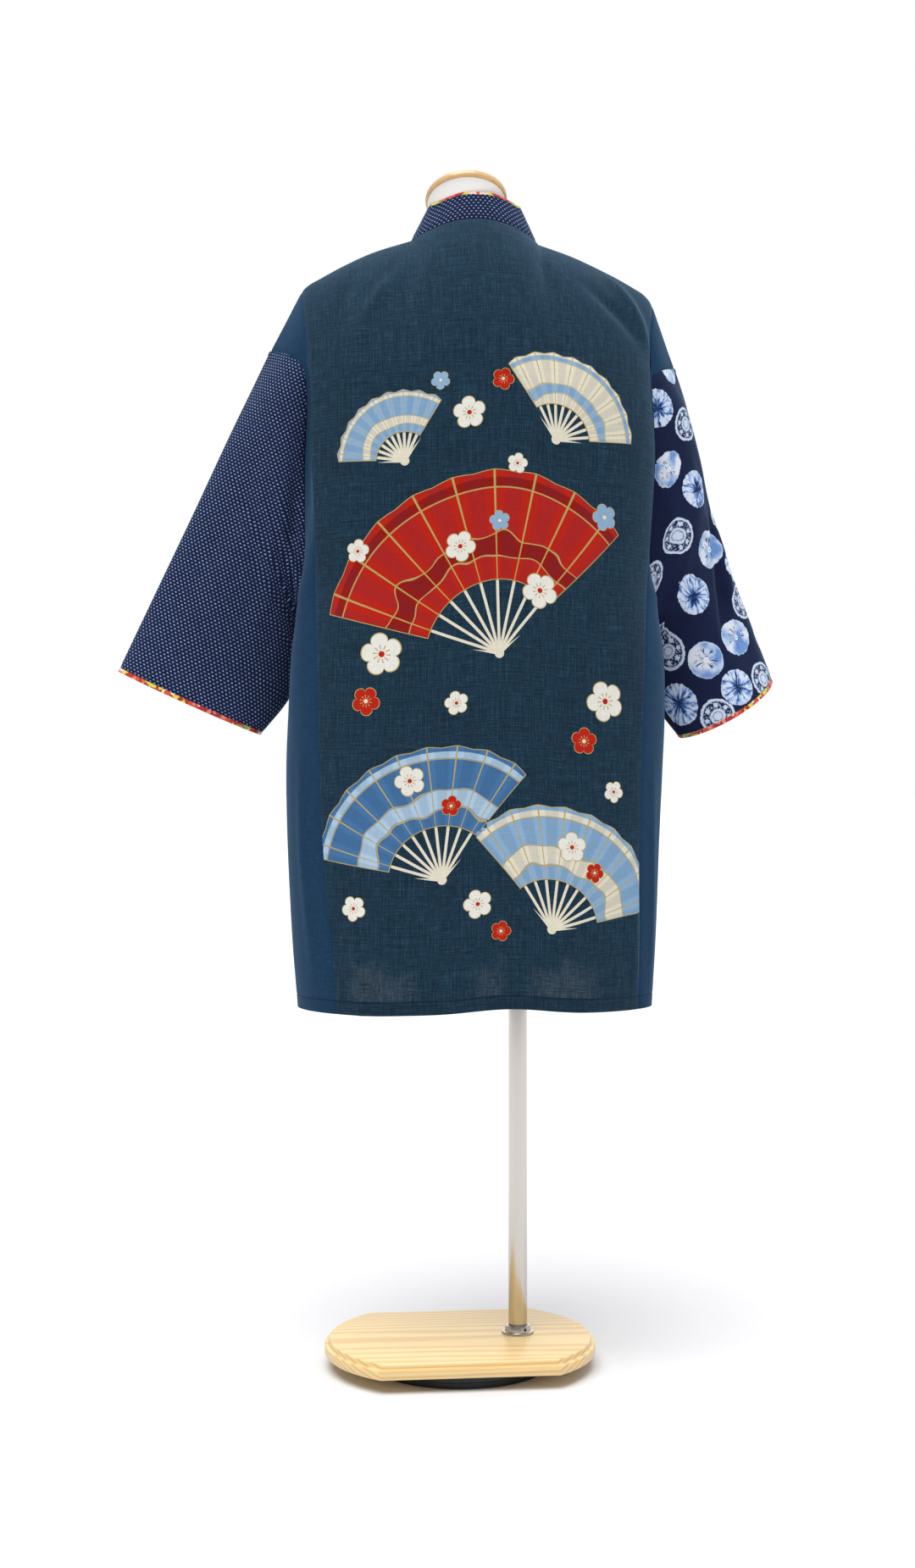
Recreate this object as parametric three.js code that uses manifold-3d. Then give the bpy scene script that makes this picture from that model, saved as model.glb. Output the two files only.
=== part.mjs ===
// Happi coat of pieced cotton, hanging on a limbless dress form with a pole stand.
// Millimetres, +Z up. The origin is on the floor, at the middle of the stand's foot.
// The coat's back faces -Y; +X is the side of the wearer's right arm.
import * as THREE from 'three';
import { mergeVertices } from 'three/addons/utils/BufferGeometryUtils.js';
import Module from 'manifold-3d';

const wasm = await Module();
wasm.setup();

// ---------------------------------------------------------------- driving dimensions

const cloth = { wall: 1.2, collarWall: 2, pipingWall: 1.6, seamGap: 0.3, mitreLimit: 1.7 };

const coat = {
  centreX: 17, // the coat hangs a little off the stand's middle
  hemZ: 421,
  underarmZ: 899,
  bendZ: 1060, // level sections below this height, columns that bend to the shoulder above it
  topLevel: 1250,
  panelHalfWidth: 207, // at the shoulder
  sectionPower: 2.4, // superellipse power of the level sections
  sideBulge: 9,
  shoulderPower: 3, // how late a column starts to lean over towards the shoulder line
  shoulderRound: 0.72, // and how round it arrives there
  shoulderTilt: 5, // the left sleeve seam sits this much higher, the right one lower
  shoulderShift: 3, // and the shoulders' tips lie this far to the right
};

// distances from the centre line over which the shoulders' shift and tilt set in, and the
// height above which the tilt reaches the armhole
const shoulderSkew = { shiftFrom: 120, shiftTo: 190, tiltFrom: 205, tiltTo: 239, tiltLevel: 1120 };

// how many rows and columns each stretch of the body is divided into
const rows = {
  hemToUnderarm: 9,
  underarmToBend: 4,
  bendToShoulder: 9,
  acrossNeck: 5,
  acrossShoulder: 6,
  acrossStrip: 4,
};

// level sections of the hanging body
const bodySections = [
  { z: 421, halfWidth: 207.5, shift: 0, back: 118, front: 120 },
  { z: 503, halfWidth: 214, shift: 0, back: 119, front: 122 },
  { z: 620, halfWidth: 219.5, shift: 0, back: 120.5, front: 124 },
  { z: 700, halfWidth: 222, shift: 1.5, back: 122, front: 126 },
  { z: 760, halfWidth: 222, shift: 4, back: 123, front: 127 },
  { z: 830, halfWidth: 219, shift: 5, back: 124, front: 128 },
  { z: 899, halfWidth: 208, shift: 3, back: 124.5, front: 129 },
  { z: 980, halfWidth: 214, shift: 0, back: 126, front: 131 },
  { z: 1060, halfWidth: 217, shift: 0, back: 128, front: 132 },
];

// distance from the coat's centre line to the seam between back panel and side strip
const panelSeams = [
  { z: 421, left: 165.5, right: 182 },
  { z: 510, left: 173, right: 181.5 },
  { z: 606, left: 181, right: 181.5 },
  { z: 722, left: 186, right: 184 },
  { z: 860, left: 188.5, right: 190 },
  { z: 965, left: 190, right: 194 },
  { z: 1060, left: 194.5, right: 198 },
  { z: 1140, left: 196, right: 197 },
  { z: 1200, left: 200, right: 201 },
  { z: 1250, left: 203, right: 212 },
];

// armhole seam; level is the height of the panel seam's point in the same row
const armhole = [
  { level: 899, x: 208, y: 0, z: 899, bulge: 9 },
  { level: 935, x: 193, y: 13, z: 935, bulge: 5 },
  { level: 985, x: 182, y: 22, z: 985, bulge: -1 },
  { level: 1060, x: 179, y: 28, z: 1055, bulge: -5 },
  { level: 1120, x: 183, y: 42, z: 1112, bulge: -4 },
  { level: 1170, x: 197, y: 52, z: 1150, bulge: -1 },
  { level: 1210, x: 217, y: 37, z: 1167, bulge: 2 },
  { level: 1250, x: 239, y: 0, z: 1178, bulge: 0 },
];

// the line over the shoulder, from the side of the neck down to the sleeve seam
const shoulderLine = [
  { x: 75, z: 1317, y: 6 },
  { x: 119, z: 1302, y: 5 },
  { x: 159, z: 1283.5, y: 5 },
  { x: 187, z: 1268, y: 4 },
  { x: 199, z: 1260.5, y: 3 },
  { x: 208, z: 1250, y: 2 },
  { x: 215, z: 1236, y: 1 },
  { x: 239, z: 1178, y: 0 },
];

// the neck hole is cut out of a surface that would rise to crownZ above its middle
const neck = { halfWidth: 75, backDepth: 50, sideY: 6, sideZ: 1317, crownZ: 1352, crownPower: 1.5 };

// distance from the coat's centre line to the seam between a front and its collar
const frontEdge = [
  { z: 421, x: 53 },
  { z: 760, x: 52 },
  { z: 1060, x: 52 },
  { z: 1160, x: 60 },
  { z: 1250, x: 75 },
];

// from the collar's seam to its free edge; along is 0 at the centre back, 1 at the side of
// the neck, 2 where the chest begins and 3 at the hem
const collarStand = [
  { along: 0, inward: 0, forward: 10, up: 35 },
  { along: 0.5, inward: 13, forward: 6, up: 37 },
  { along: 1, inward: 21, forward: -5, up: 40 },
  { along: 1.25, inward: 26, forward: 8, up: 35 },
  { along: 1.5, inward: 33, forward: 14, up: 26 },
  { along: 1.75, inward: 41, forward: 9, up: 12 },
  { along: 2, inward: 45, forward: 3, up: 3 },
  { along: 3, inward: 45, forward: 1, up: 0 },
];

// the back's hem hangs a little higher near its middle
const hemLift = { x: 25, halfWidth: 62, rise: 7, topZ: 560 };

// wide soft folds that stand out of the cloth; x and z are measured from the coat's centre
const bodyFolds = [
  { face: 'back', x: -128, lean: 0.02, topZ: 640, footZ: 421, halfWidth: 34, rise: 9 },
  { face: 'back', x: 96, lean: -0.03, topZ: 700, footZ: 421, halfWidth: 40, rise: 4 },
  { face: 'back', x: -20, lean: 0.03, topZ: 760, footZ: 421, halfWidth: 46, rise: 3 },
  { face: 'front', x: -140, lean: 0.03, topZ: 780, footZ: 421, halfWidth: 38, rise: 8 },
  { face: 'front', x: 136, lean: -0.03, topZ: 820, footZ: 421, halfWidth: 40, rise: 8 },
];

// sleeve stations: the fold along the arm's top, the fold under it, and how far the cloth
// stands out behind and in front of the line between them
const leftSleeve = [
  { t: 0, topX: -239, topY: 0, topZ: 1183, lowX: -205, lowY: 0, lowZ: 899, back: 50, front: 50 },
  { t: 0.1, topX: -257, topY: 2, topZ: 1145, lowX: -214, lowY: 15, lowZ: 889, back: 50, front: 50 },
  { t: 0.25, topX: -284, topY: 5, topZ: 1089, lowX: -209, lowY: 47, lowZ: 866, back: 48, front: 46 },
  { t: 0.5, topX: -327, topY: 9, topZ: 996, lowX: -207, lowY: 62, lowZ: 828, back: 42, front: 40 },
  { t: 0.75, topX: -371, topY: 13, topZ: 903, lowX: -215, lowY: 58, lowZ: 783, back: 37, front: 34 },
  { t: 1, topX: -412.5, topY: 18, topZ: 815.5, lowX: -247, lowY: 32, lowZ: 741.5, back: 34, front: 28 },
];
const rightSleeve = [
  { t: 0, topX: 239, topY: 0, topZ: 1173, lowX: 211, lowY: 0, lowZ: 899, back: 50, front: 50 },
  { t: 0.12, topX: 256, topY: 12, topZ: 1131, lowX: 222, lowY: 15, lowZ: 887, back: 46, front: 50 },
  { t: 0.25, topX: 270, topY: 21, topZ: 1082, lowX: 222, lowY: 42, lowZ: 866, back: 44, front: 52 },
  { t: 0.45, topX: 291, topY: 38, topZ: 1010, lowX: 219, lowY: 63, lowZ: 838, back: 43, front: 52 },
  { t: 0.6, topX: 313, topY: 53, topZ: 955, lowX: 222, lowY: 66, lowZ: 815, back: 44, front: 50 },
  { t: 0.8, topX: 345, topY: 70, topZ: 884, lowX: 233, lowY: 64, lowZ: 772, back: 46, front: 48 },
  { t: 1, topX: 375, topY: 87, topZ: 815.5, lowX: 254, lowY: 48, lowZ: 739.5, back: 43, front: 46 },
];
const sleeve = {
  steps: 11,
  splitStep: 6, // a sleeve is one piece of cloth, in two nodes so that each stays a simple tube
  stepGrowth: 1.15, // the steps are closer together near the armhole
  edgeSharpness: 1.2,
  armholeReach: 0.32, // how far down the sleeve the armhole's own shape is felt
  cuffPiping: 5,
};

// one wide trough in each sleeve; around is 0 on the top fold and 1 under the arm
const leftTrough = { around: 0.72, halfAround: 0.12, from: -0.05, to: 0.5, depth: 7 };
const rightTrough = { around: 0.3, halfAround: 0.1, from: 0.35, to: 0.98, depth: 9 };

const collar = { pipingWidth: 3, turnGap: 1, turnReach: 0.15 };

// rings of the dress form
const form = { centreX: 11, neckX: 7.7, power: 2.2, shoulderPower: 1.35, neckPower: 2, segments: 24 };
const formRings = [
  { z: 590, halfWidth: 118, halfDepth: 68, centreY: 0 },
  { z: 598, halfWidth: 140, halfDepth: 88, centreY: 0 },
  { z: 618, halfWidth: 152, halfDepth: 99, centreY: 0 },
  { z: 690, halfWidth: 157, halfDepth: 105, centreY: 0 },
  { z: 780, halfWidth: 147, halfDepth: 98, centreY: 1 },
  { z: 870, halfWidth: 138, halfDepth: 94, centreY: 2 },
  { z: 970, halfWidth: 150, halfDepth: 102, centreY: 2 },
  { z: 1060, halfWidth: 161, halfDepth: 106, centreY: 2 },
  { z: 1130, halfWidth: 168, halfDepth: 104, centreY: 1 },
  { z: 1190, halfWidth: 177, halfDepth: 90, centreY: 2 },
  { z: 1232, halfWidth: 184, halfDepth: 74, centreY: 4 },
  { z: 1256, halfWidth: 182, halfDepth: 59, centreY: 5 },
];
// above these the rings follow the coat's shoulder line from inside, down to the neck
const formShoulder = { under: 2.7, centreY: 5, widest: 182, searchStep: 0.5 };
const formShoulderRings = [
  { z: 1267, halfDepth: 50 },
  { z: 1278, halfDepth: 46 },
  { z: 1289, halfDepth: 42 },
  { z: 1300, halfDepth: 37 },
];
const formNeckRings = [
  { z: 1311, halfWidth: 58, halfDepth: 38, centreY: 7 },
  { z: 1324, halfWidth: 46, halfDepth: 38, centreY: 8 },
  { z: 1342, halfWidth: 40.5, halfDepth: 37.5, centreY: 9 },
];
const neckCap = {
  radius: 48,
  thickness: 8,
  edge: 2.5,
  tilt: 25,
  gap: 0.4,
  centreY: 4,
  centreZ: 1367,
  segments: 32,
};
const neckTop = { halfWidth: 39.5, halfDepth: 36 };

const pole = { x: 69, y: 5, radius: 11, segments: 24, socketDepth: 48 };
const flange = {
  radius: 19,
  thickness: 2.4,
  hubRadius: 15,
  hubHeight: 9,
  edge: 1,
  segments: 32,
};
const board = {
  length: 317,
  width: 234,
  straight: 203, // length of the front and back edges
  thickness: 17,
  step: 5,
  stepHeight: 6,
  arcSteps: 10,
  z: 16,
};
const foot = {
  discRadius: 108,
  discHeight: 7.4,
  padRadius: 104,
  padHeight: 8,
  edge: 1.2,
  segments: 48,
};

// ---------------------------------------------------------------- small helpers

const clamp = THREE.MathUtils.clamp;
const lerp = THREE.MathUtils.lerp;
const smooth = (value, low, high) => THREE.MathUtils.smoothstep(value, low, high);
const vector = (x, y, z) => new THREE.Vector3(x, y, z);

// A table's row at any value of its key column, on smooth curves through the rows.
function readTable(table, key, value) {
  const last = table.length - 1;
  let index = 0;
  while (index < last - 1 && value > table[index + 1][key]) index++;
  const before = table[Math.max(index - 1, 0)];
  const start = table[index];
  const end = table[index + 1];
  const after = table[Math.min(index + 2, last)];
  const span = end[key] - start[key];
  const t = clamp((value - start[key]) / span, 0, 1);
  const row = {};
  for (const name of Object.keys(start)) {
    const startSlope = ((end[name] - before[name]) / (end[key] - before[key])) * span;
    const endSlope = ((after[name] - start[name]) / (after[key] - start[key])) * span;
    const rise = end[name] - start[name];
    row[name] =
      start[name] +
      t * startSlope +
      t * t * (3 * rise - 2 * startSlope - endSlope) +
      t * t * t * (startSlope + endSlope - 2 * rise);
  }
  return row;
}

// ---------------------------------------------------------------- walls from grids

// Unit normals of a grid of points, and how much longer a mitred wall is along them.
function gridNormals(points, wraps = false) {
  const columns = points.length;
  const height = points[0].length;
  const sums = points.map((column) => column.map(() => vector(0, 0, 0)));
  const faces = points.map((column) => column.map(() => []));
  const lastColumn = wraps ? columns : columns - 1;
  for (let i = 0; i < lastColumn; i++) {
    const next = (i + 1) % columns;
    for (let j = 0; j < height - 1; j++) {
      const across = points[next][j + 1].clone().sub(points[i][j]);
      const back = points[i][j + 1].clone().sub(points[next][j]);
      const normal = across.cross(back);
      for (const [column, row] of [[i, j], [next, j], [next, j + 1], [i, j + 1]]) {
        sums[column][row].add(normal);
        faces[column][row].push(normal.clone().normalize());
      }
    }
  }
  return sums.map((column, i) =>
    column.map((sum, j) => ({ direction: sum.clone().normalize(), faces: faces[i][j] })),
  );
}

// Makes two edges that meet at a seam share one mitre direction.
function shareNormal(first, second) {
  const direction = first.direction.clone().add(second.direction).normalize();
  const faces = [...first.faces, ...second.faces];
  for (const normal of [first, second]) {
    normal.direction = direction.clone();
    normal.faces = faces;
  }
}

function flipNormals(normals) {
  for (const normal of normals.flat()) {
    normal.direction.negate();
    for (const face of normal.faces) face.negate();
  }
}

function mitre(normal) {
  const least = Math.min(...normal.faces.map((face) => face.dot(normal.direction)));
  return Math.min(cloth.mitreLimit, 1 / Math.max(least, 0.1));
}

// Draws the named edges of a grid in by half a seam gap.
function partSeams(points, edges) {
  const half = cloth.seamGap / 2;
  const moved = points.map((column) => column.map((point) => point.clone()));
  const columns = points.length;
  const height = points[0].length;
  const pull = (i, j, towardI, towardJ) => {
    const way = points[towardI][towardJ].clone().sub(points[i][j]).normalize();
    moved[i][j].addScaledVector(way, half);
  };
  for (let j = 0; j < height; j++) {
    if (edges.first) pull(0, j, 1, j);
    if (edges.last) pull(columns - 1, j, columns - 2, j);
  }
  for (let i = 0; i < columns; i++) {
    if (edges.bottom) pull(i, 0, i, 1);
    if (edges.top) pull(i, height - 1, i, height - 2);
  }
  return moved;
}

function geometryFrom(positions, triangles) {
  const flat = positions.flatMap((point) => [point.x, point.y, point.z]);
  const geometry = new THREE.BufferGeometry();
  geometry.setAttribute('position', new THREE.Float32BufferAttribute(flat, 3));
  let volume = 0;
  for (const [a, b, c] of triangles) {
    volume += positions[a].dot(positions[b].clone().cross(positions[c]));
  }
  const faces = volume > 0 ? triangles : triangles.map(([a, b, c]) => [a, c, b]);
  geometry.setIndex(faces.flat());
  geometry.computeVertexNormals();
  return geometry;
}

// The closed wall between a grid and the same grid moved in along its normals.
function clothWall(points, normals, wall, wraps = false) {
  const columns = points.length;
  const height = points[0].length;
  const outer = points.flat();
  const inner = points.flatMap((column, i) =>
    column.map((point, j) => {
      const normal = normals[i][j];
      return point.clone().addScaledVector(normal.direction, -wall * mitre(normal));
    }),
  );
  const size = columns * height;
  const at = (i, j) => (i % columns) * height + j;
  const triangles = [];
  const quad = (a, b, c, d) => triangles.push([a, b, c], [a, c, d]);
  const lastColumn = wraps ? columns : columns - 1;
  for (let i = 0; i < lastColumn; i++) {
    for (let j = 0; j < height - 1; j++) {
      quad(at(i, j), at(i + 1, j), at(i + 1, j + 1), at(i, j + 1));
      quad(size + at(i, j), size + at(i, j + 1), size + at(i + 1, j + 1), size + at(i + 1, j));
    }
    quad(at(i, 0), size + at(i, 0), size + at(i + 1, 0), at(i + 1, 0));
    const top = height - 1;
    quad(at(i, top), at(i + 1, top), size + at(i + 1, top), size + at(i, top));
  }
  if (!wraps) {
    const end = columns - 1;
    for (let j = 0; j < height - 1; j++) {
      quad(at(0, j), at(0, j + 1), size + at(0, j + 1), size + at(0, j));
      quad(at(end, j), size + at(end, j), size + at(end, j + 1), at(end, j + 1));
    }
  }
  return geometryFrom([...outer, ...inner], triangles);
}

// ---------------------------------------------------------------- the body's surface

function seamX(side, level) {
  const row = readTable(panelSeams, 'z', level);
  return side < 0 ? -row.left : row.right;
}

function foldRise(face, x, z) {
  let rise = 0;
  for (const fold of bodyFolds) {
    if (fold.face !== face) continue;
    const middle = fold.x + fold.lean * (z - fold.footZ);
    const across = (x - middle) / fold.halfWidth;
    const fade = 1 - smooth(z, fold.footZ, fold.topZ);
    rise += fold.rise * fade * Math.exp(-across * across);
  }
  return rise;
}

// The line over the shoulder, and above the neck hole the crown that it would pass through.
function topLine(x) {
  const away = Math.abs(x);
  if (away < neck.halfWidth) {
    const crown = 1 - (away / neck.halfWidth) ** neck.crownPower;
    return { y: neck.sideY, z: lerp(neck.sideZ, neck.crownZ, crown) };
  }
  const { shiftFrom, shiftTo, tiltFrom, tiltTo } = shoulderSkew;
  const shift = coat.shoulderShift * smooth(away, shiftFrom, shiftTo);
  const row = readTable(shoulderLine, 'x', Math.abs(x - shift));
  const drop = Math.sign(x) * coat.shoulderTilt * smooth(away, tiltFrom, tiltTo);
  return { y: row.y, z: row.z - drop };
}

// How far up its column the cloth reaches: all the way, or to the neck seam.
function columnEnd(x, lowY, edge) {
  const away = Math.abs(x) / neck.halfWidth;
  if (away >= 1) return 1;
  const seamY = neck.sideY - neck.backDepth * Math.sqrt(1 - away * away);
  const lean = clamp((seamY - edge.y) / (lowY - edge.y), 0, 1);
  return (1 - lean ** (1 / coat.shoulderRound)) ** (1 / coat.shoulderPower);
}

// A point between the centre line (across 0) and the panel's seam (across 1).
function facePoint(face, side, across, level) {
  const flip = face === 'back' ? -1 : 1;
  const x = across * seamX(side, level);
  const lowLevel = Math.min(level, coat.bendZ);
  const section = readTable(bodySections, 'z', lowLevel);
  const lowX = across * seamX(side, lowLevel);
  const power = coat.sectionPower;
  const away = Math.min(Math.abs(lowX - section.shift) / section.halfWidth, 1);
  const depth = section[face] * (1 - away ** power) ** (1 / power);
  const lowY = flip * (depth + foldRise(face, lowX, lowLevel));
  const offHighest = (lowX - hemLift.x) / hemLift.halfWidth;
  const lift = face === 'back' ? hemLift.rise * Math.exp(-(offHighest ** 2)) : 0;
  const lowZ = level + lift * (1 - smooth(level, coat.hemZ, hemLift.topZ));
  if (level <= coat.bendZ) return vector(x, lowY, lowZ);
  const topX = across * seamX(side, coat.topLevel);
  const edge = topLine(topX);
  const share = (level - coat.bendZ) / (coat.topLevel - coat.bendZ);
  const rise = share * columnEnd(topX, lowY, edge);
  const lean = (1 - rise ** coat.shoulderPower) ** coat.shoulderRound;
  return vector(x, edge.y + (lowY - edge.y) * lean, lerp(coat.bendZ, edge.z, rise));
}

// The side seam below the underarm and the armhole seam above it.
function outerEdge(face, side, level) {
  const flip = face === 'back' ? -1 : 1;
  const section = readTable(bodySections, 'z', Math.min(level, coat.bendZ));
  if (level <= coat.underarmZ) return vector(section.shift + side * section.halfWidth, 0, level);
  const row = readTable(armhole, 'level', level);
  const drop = side * coat.shoulderTilt * smooth(level, shoulderSkew.tiltLevel, coat.topLevel);
  return vector(section.shift + side * row.x, flip * row.y, row.z - drop);
}

// A point between the panel's seam (across 0) and the side or armhole seam (across 1).
function sidePoint(face, side, across, level) {
  const seam = facePoint(face, side, 1, level);
  const edge = outerEdge(face, side, level);
  const chord = edge.clone().sub(seam);
  const flip = face === 'back' ? -1 : 1;
  const outward = vector(-chord.y, chord.x, 0).multiplyScalar(-side * flip).normalize();
  const raised = level > coat.underarmZ;
  const bulge = raised ? readTable(armhole, 'level', level).bulge : coat.sideBulge;
  const point = seam.lerp(edge, across);
  return point.addScaledVector(outward, -4 * bulge * across * (1 - across));
}

const steps = (count) => Array.from({ length: count }, (_, index) => (index + 1) / count);
const rounded = (count) => steps(count).map((t) => Math.sin((t * Math.PI) / 2));

// heights of the rows that every piece of the body shares
const levels = [
  coat.hemZ,
  ...steps(rows.hemToUnderarm).map((t) => lerp(coat.hemZ, coat.underarmZ, t)),
  ...steps(rows.underarmToBend).map((t) => lerp(coat.underarmZ, coat.bendZ, t)),
  ...rounded(rows.bendToShoulder).map((t) => lerp(coat.bendZ, coat.topLevel, t)),
];
const underarmRow = rows.hemToUnderarm;
const lastRow = levels.length - 1;

// columns, as shares of the way from the centre line to the panel's seam, and then of the
// way from there to the outer edge
const neckShare = neck.halfWidth / coat.panelHalfWidth;
const neckSteps = rounded(rows.acrossNeck).map((t) => neckShare * t);
const shoulderSteps = steps(rows.acrossShoulder);
const panelSteps = [...neckSteps, ...shoulderSteps.map((t) => lerp(neckShare, 1, t))];
const sideSteps = steps(rows.acrossStrip);

function bodyColumn(pointAt) {
  return levels.map((level) => pointAt(level));
}

// the whole back, from the left outer edge to the right one
const backColumns = [
  ...sideSteps.toReversed().map((t) => bodyColumn((level) => sidePoint('back', -1, t, level))),
  ...panelSteps.toReversed().map((t) => bodyColumn((level) => facePoint('back', -1, t, level))),
  bodyColumn((level) => facePoint('back', 1, 0, level)),
  ...panelSteps.map((t) => bodyColumn((level) => facePoint('back', 1, t, level))),
  ...sideSteps.map((t) => bodyColumn((level) => sidePoint('back', 1, t, level))),
];

// each front, from its outer edge in to the collar's seam
function frontColumns(side) {
  const innerShare = (level) => {
    const top = neck.halfWidth / Math.abs(seamX(side, coat.topLevel));
    const low = readTable(frontEdge, 'z', level).x / Math.abs(seamX(side, level));
    return level >= coat.topLevel ? top : low;
  };
  return [
    ...sideSteps.toReversed().map((t) => bodyColumn((level) => sidePoint('front', side, t, level))),
    ...[1, ...shoulderSteps.slice(0, -1).toReversed(), 0].map((t) =>
      bodyColumn((level) => facePoint('front', side, lerp(innerShare(level), 1, t), level)),
    ),
  ];
}
const leftFrontColumns = frontColumns(-1).toReversed();
const rightFrontColumns = frontColumns(1);

const backNormals = gridNormals(backColumns);
const leftFrontNormals = gridNormals(leftFrontColumns);
const rightFrontNormals = gridNormals(rightFrontColumns);

// side seams and shoulder seams share their mitres
const sideCount = sideSteps.length;
const shoulderCount = shoulderSteps.length;
const backLast = backColumns.length - 1;
const frontLast = leftFrontColumns.length - 1;
for (let row = 0; row < underarmRow; row++) {
  shareNormal(backNormals[0][row], leftFrontNormals[frontLast][row]);
  shareNormal(backNormals[backLast][row], rightFrontNormals[0][row]);
}
for (let column = 0; column <= sideCount + shoulderCount; column++) {
  shareNormal(backNormals[column][lastRow], leftFrontNormals[frontLast - column][lastRow]);
  shareNormal(backNormals[backLast - column][lastRow], rightFrontNormals[column][lastRow]);
}

function slicePiece(columns, normals, from, to, edges) {
  const points = partSeams(columns.slice(from, to + 1), edges);
  return { points, normals: normals.slice(from, to + 1) };
}

const group = new THREE.Group();

function add(name, geometry, colour, roughness = 0.9, metalness = 0) {
  const material = new THREE.MeshStandardMaterial({ color: colour, roughness, metalness });
  const mesh = new THREE.Mesh(geometry, material);
  mesh.name = name;
  group.add(mesh);
  return mesh;
}

function addCloth(name, piece, wall, colour, wraps = false) {
  const mesh = add(name, clothWall(piece.points, piece.normals, wall, wraps), colour);
  mesh.position.x = coat.centreX;
}

const navyPanel = '#244a63';
const plainIndigo = '#1d4166';
const dottedNavy = '#23264c';
const roundelNavy = '#1f2747';
const floral = '#c8503c';

const allSeams = { first: true, last: true, top: true };
const rightStripStart = backLast - sideCount;
const panelPiece = slicePiece(backColumns, backNormals, sideCount, rightStripStart, allSeams);
addCloth('back_panel', panelPiece, cloth.wall, navyPanel);
const leftStrip = slicePiece(backColumns, backNormals, 0, sideCount, allSeams);
addCloth('back_strip_left', leftStrip, cloth.wall, plainIndigo);
const rightStrip = slicePiece(backColumns, backNormals, rightStripStart, backLast, allSeams);
addCloth('back_strip_right', rightStrip, cloth.wall, plainIndigo);
const leftFront = slicePiece(leftFrontColumns, leftFrontNormals, 0, frontLast, allSeams);
addCloth('front_left', leftFront, cloth.wall, plainIndigo);
const rightFront = slicePiece(rightFrontColumns, rightFrontNormals, 0, frontLast, allSeams);
addCloth('front_right', rightFront, cloth.wall, plainIndigo);

// ---------------------------------------------------------------- sleeves

// The armhole seam's points, from the top down the back and up the front again, each with
// its share of the way round.
function armholeLoop(side) {
  const heights = levels.slice(underarmRow);
  const back = heights.map((level) => outerEdge('back', side, level)).toReversed();
  const lengths = [0];
  for (let index = 1; index < back.length; index++) {
    lengths.push(lengths[index - 1] + back[index].distanceTo(back[index - 1]));
  }
  const total = lengths.at(-1);
  const loop = back.map((point, index) => ({ point, around: lengths[index] / total }));
  const front = loop.slice(1, -1).toReversed();
  for (const { point, around } of front) {
    loop.push({ point: vector(point.x, -point.y, point.z), around: 2 - around });
  }
  return loop;
}

function troughDepth(trough, t, around) {
  if (t < trough.from || t > trough.to) return 0;
  const across = (around - trough.around) / trough.halfAround;
  const along = Math.sin((Math.PI * (t - trough.from)) / (trough.to - trough.from));
  return trough.depth * along * Math.exp(-across * across);
}

// A point of a sleeve: t runs from the armhole to the cuff, around from 0 on the top fold
// over the back to 1 under the arm, and on over the front to 2.
function sleevePoint(stations, trough, t, around) {
  const row = readTable(stations, 't', t);
  const top = vector(row.topX, row.topY, row.topZ);
  const low = vector(row.lowX, row.lowY, row.lowZ);
  const half = top.clone().sub(low).multiplyScalar(0.5);
  const ends = [stations[0], stations.at(-1)].map((station) =>
    vector(station.topX + station.lowX, station.topY + station.lowY, station.topZ + station.lowZ),
  );
  const outward = half.clone().cross(ends[1].sub(ends[0])).normalize();
  if (outward.y > 0) outward.negate();
  const angle = around * Math.PI;
  const bend = Math.sign(Math.sin(angle)) * Math.abs(Math.sin(angle)) ** sleeve.edgeSharpness;
  const depth = around < 1 ? row.back - troughDepth(trough, t, around) : row.front;
  const middle = top.lerp(low, 0.5);
  return middle.addScaledVector(half, Math.cos(angle)).addScaledVector(outward, depth * bend);
}

function sleeveColumns(side, stations, trough) {
  const ways = [0, ...steps(sleeve.steps)].map((t) => t ** sleeve.stepGrowth);
  return armholeLoop(side).map(({ point, around }) => {
    const off = point.clone().sub(sleevePoint(stations, trough, 0, around));
    return ways.map((t) => {
      const hold = clamp(1 - t / sleeve.armholeReach, 0, 1) ** 2;
      return sleevePoint(stations, trough, t, around).addScaledVector(off, hold);
    });
  });
}

function addSleeve(side, stations, trough, word, colour) {
  const columns = sleeveColumns(side, stations, trough);
  const normals = gridNormals(columns, true);
  if (normals[0][0].direction.x * side < 0) flipNormals(normals);
  const end = columns[0].length - 1;
  for (const [name, from, to] of [['upper', 0, sleeve.splitStep], ['lower', sleeve.splitStep, end]]) {
    const slice = (grid) => grid.map((column) => column.slice(from, to + 1));
    const points = partSeams(slice(columns), { bottom: true, top: true });
    const piece = { points, normals: slice(normals) };
    addCloth(`sleeve_${word}_${name}`, piece, cloth.wall, colour, true);
  }
  const band = columns.map((column) => {
    const way = column[end].clone().sub(column[end - 1]).normalize();
    const reach = (length) => column[end].clone().addScaledVector(way, length);
    return [reach(cloth.seamGap / 2), reach(sleeve.cuffPiping)];
  });
  const bandNormals = normals.map((column) => [column[end], column[end]]);
  const bandPiece = { points: band, normals: bandNormals };
  addCloth(`cuff_piping_${word}`, bandPiece, cloth.pipingWall, floral, true);
}

addSleeve(-1, leftSleeve, leftTrough, 'left', dottedNavy);
addSleeve(1, rightSleeve, rightTrough, 'right', roundelNavy);

// ---------------------------------------------------------------- collar and its piping

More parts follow.
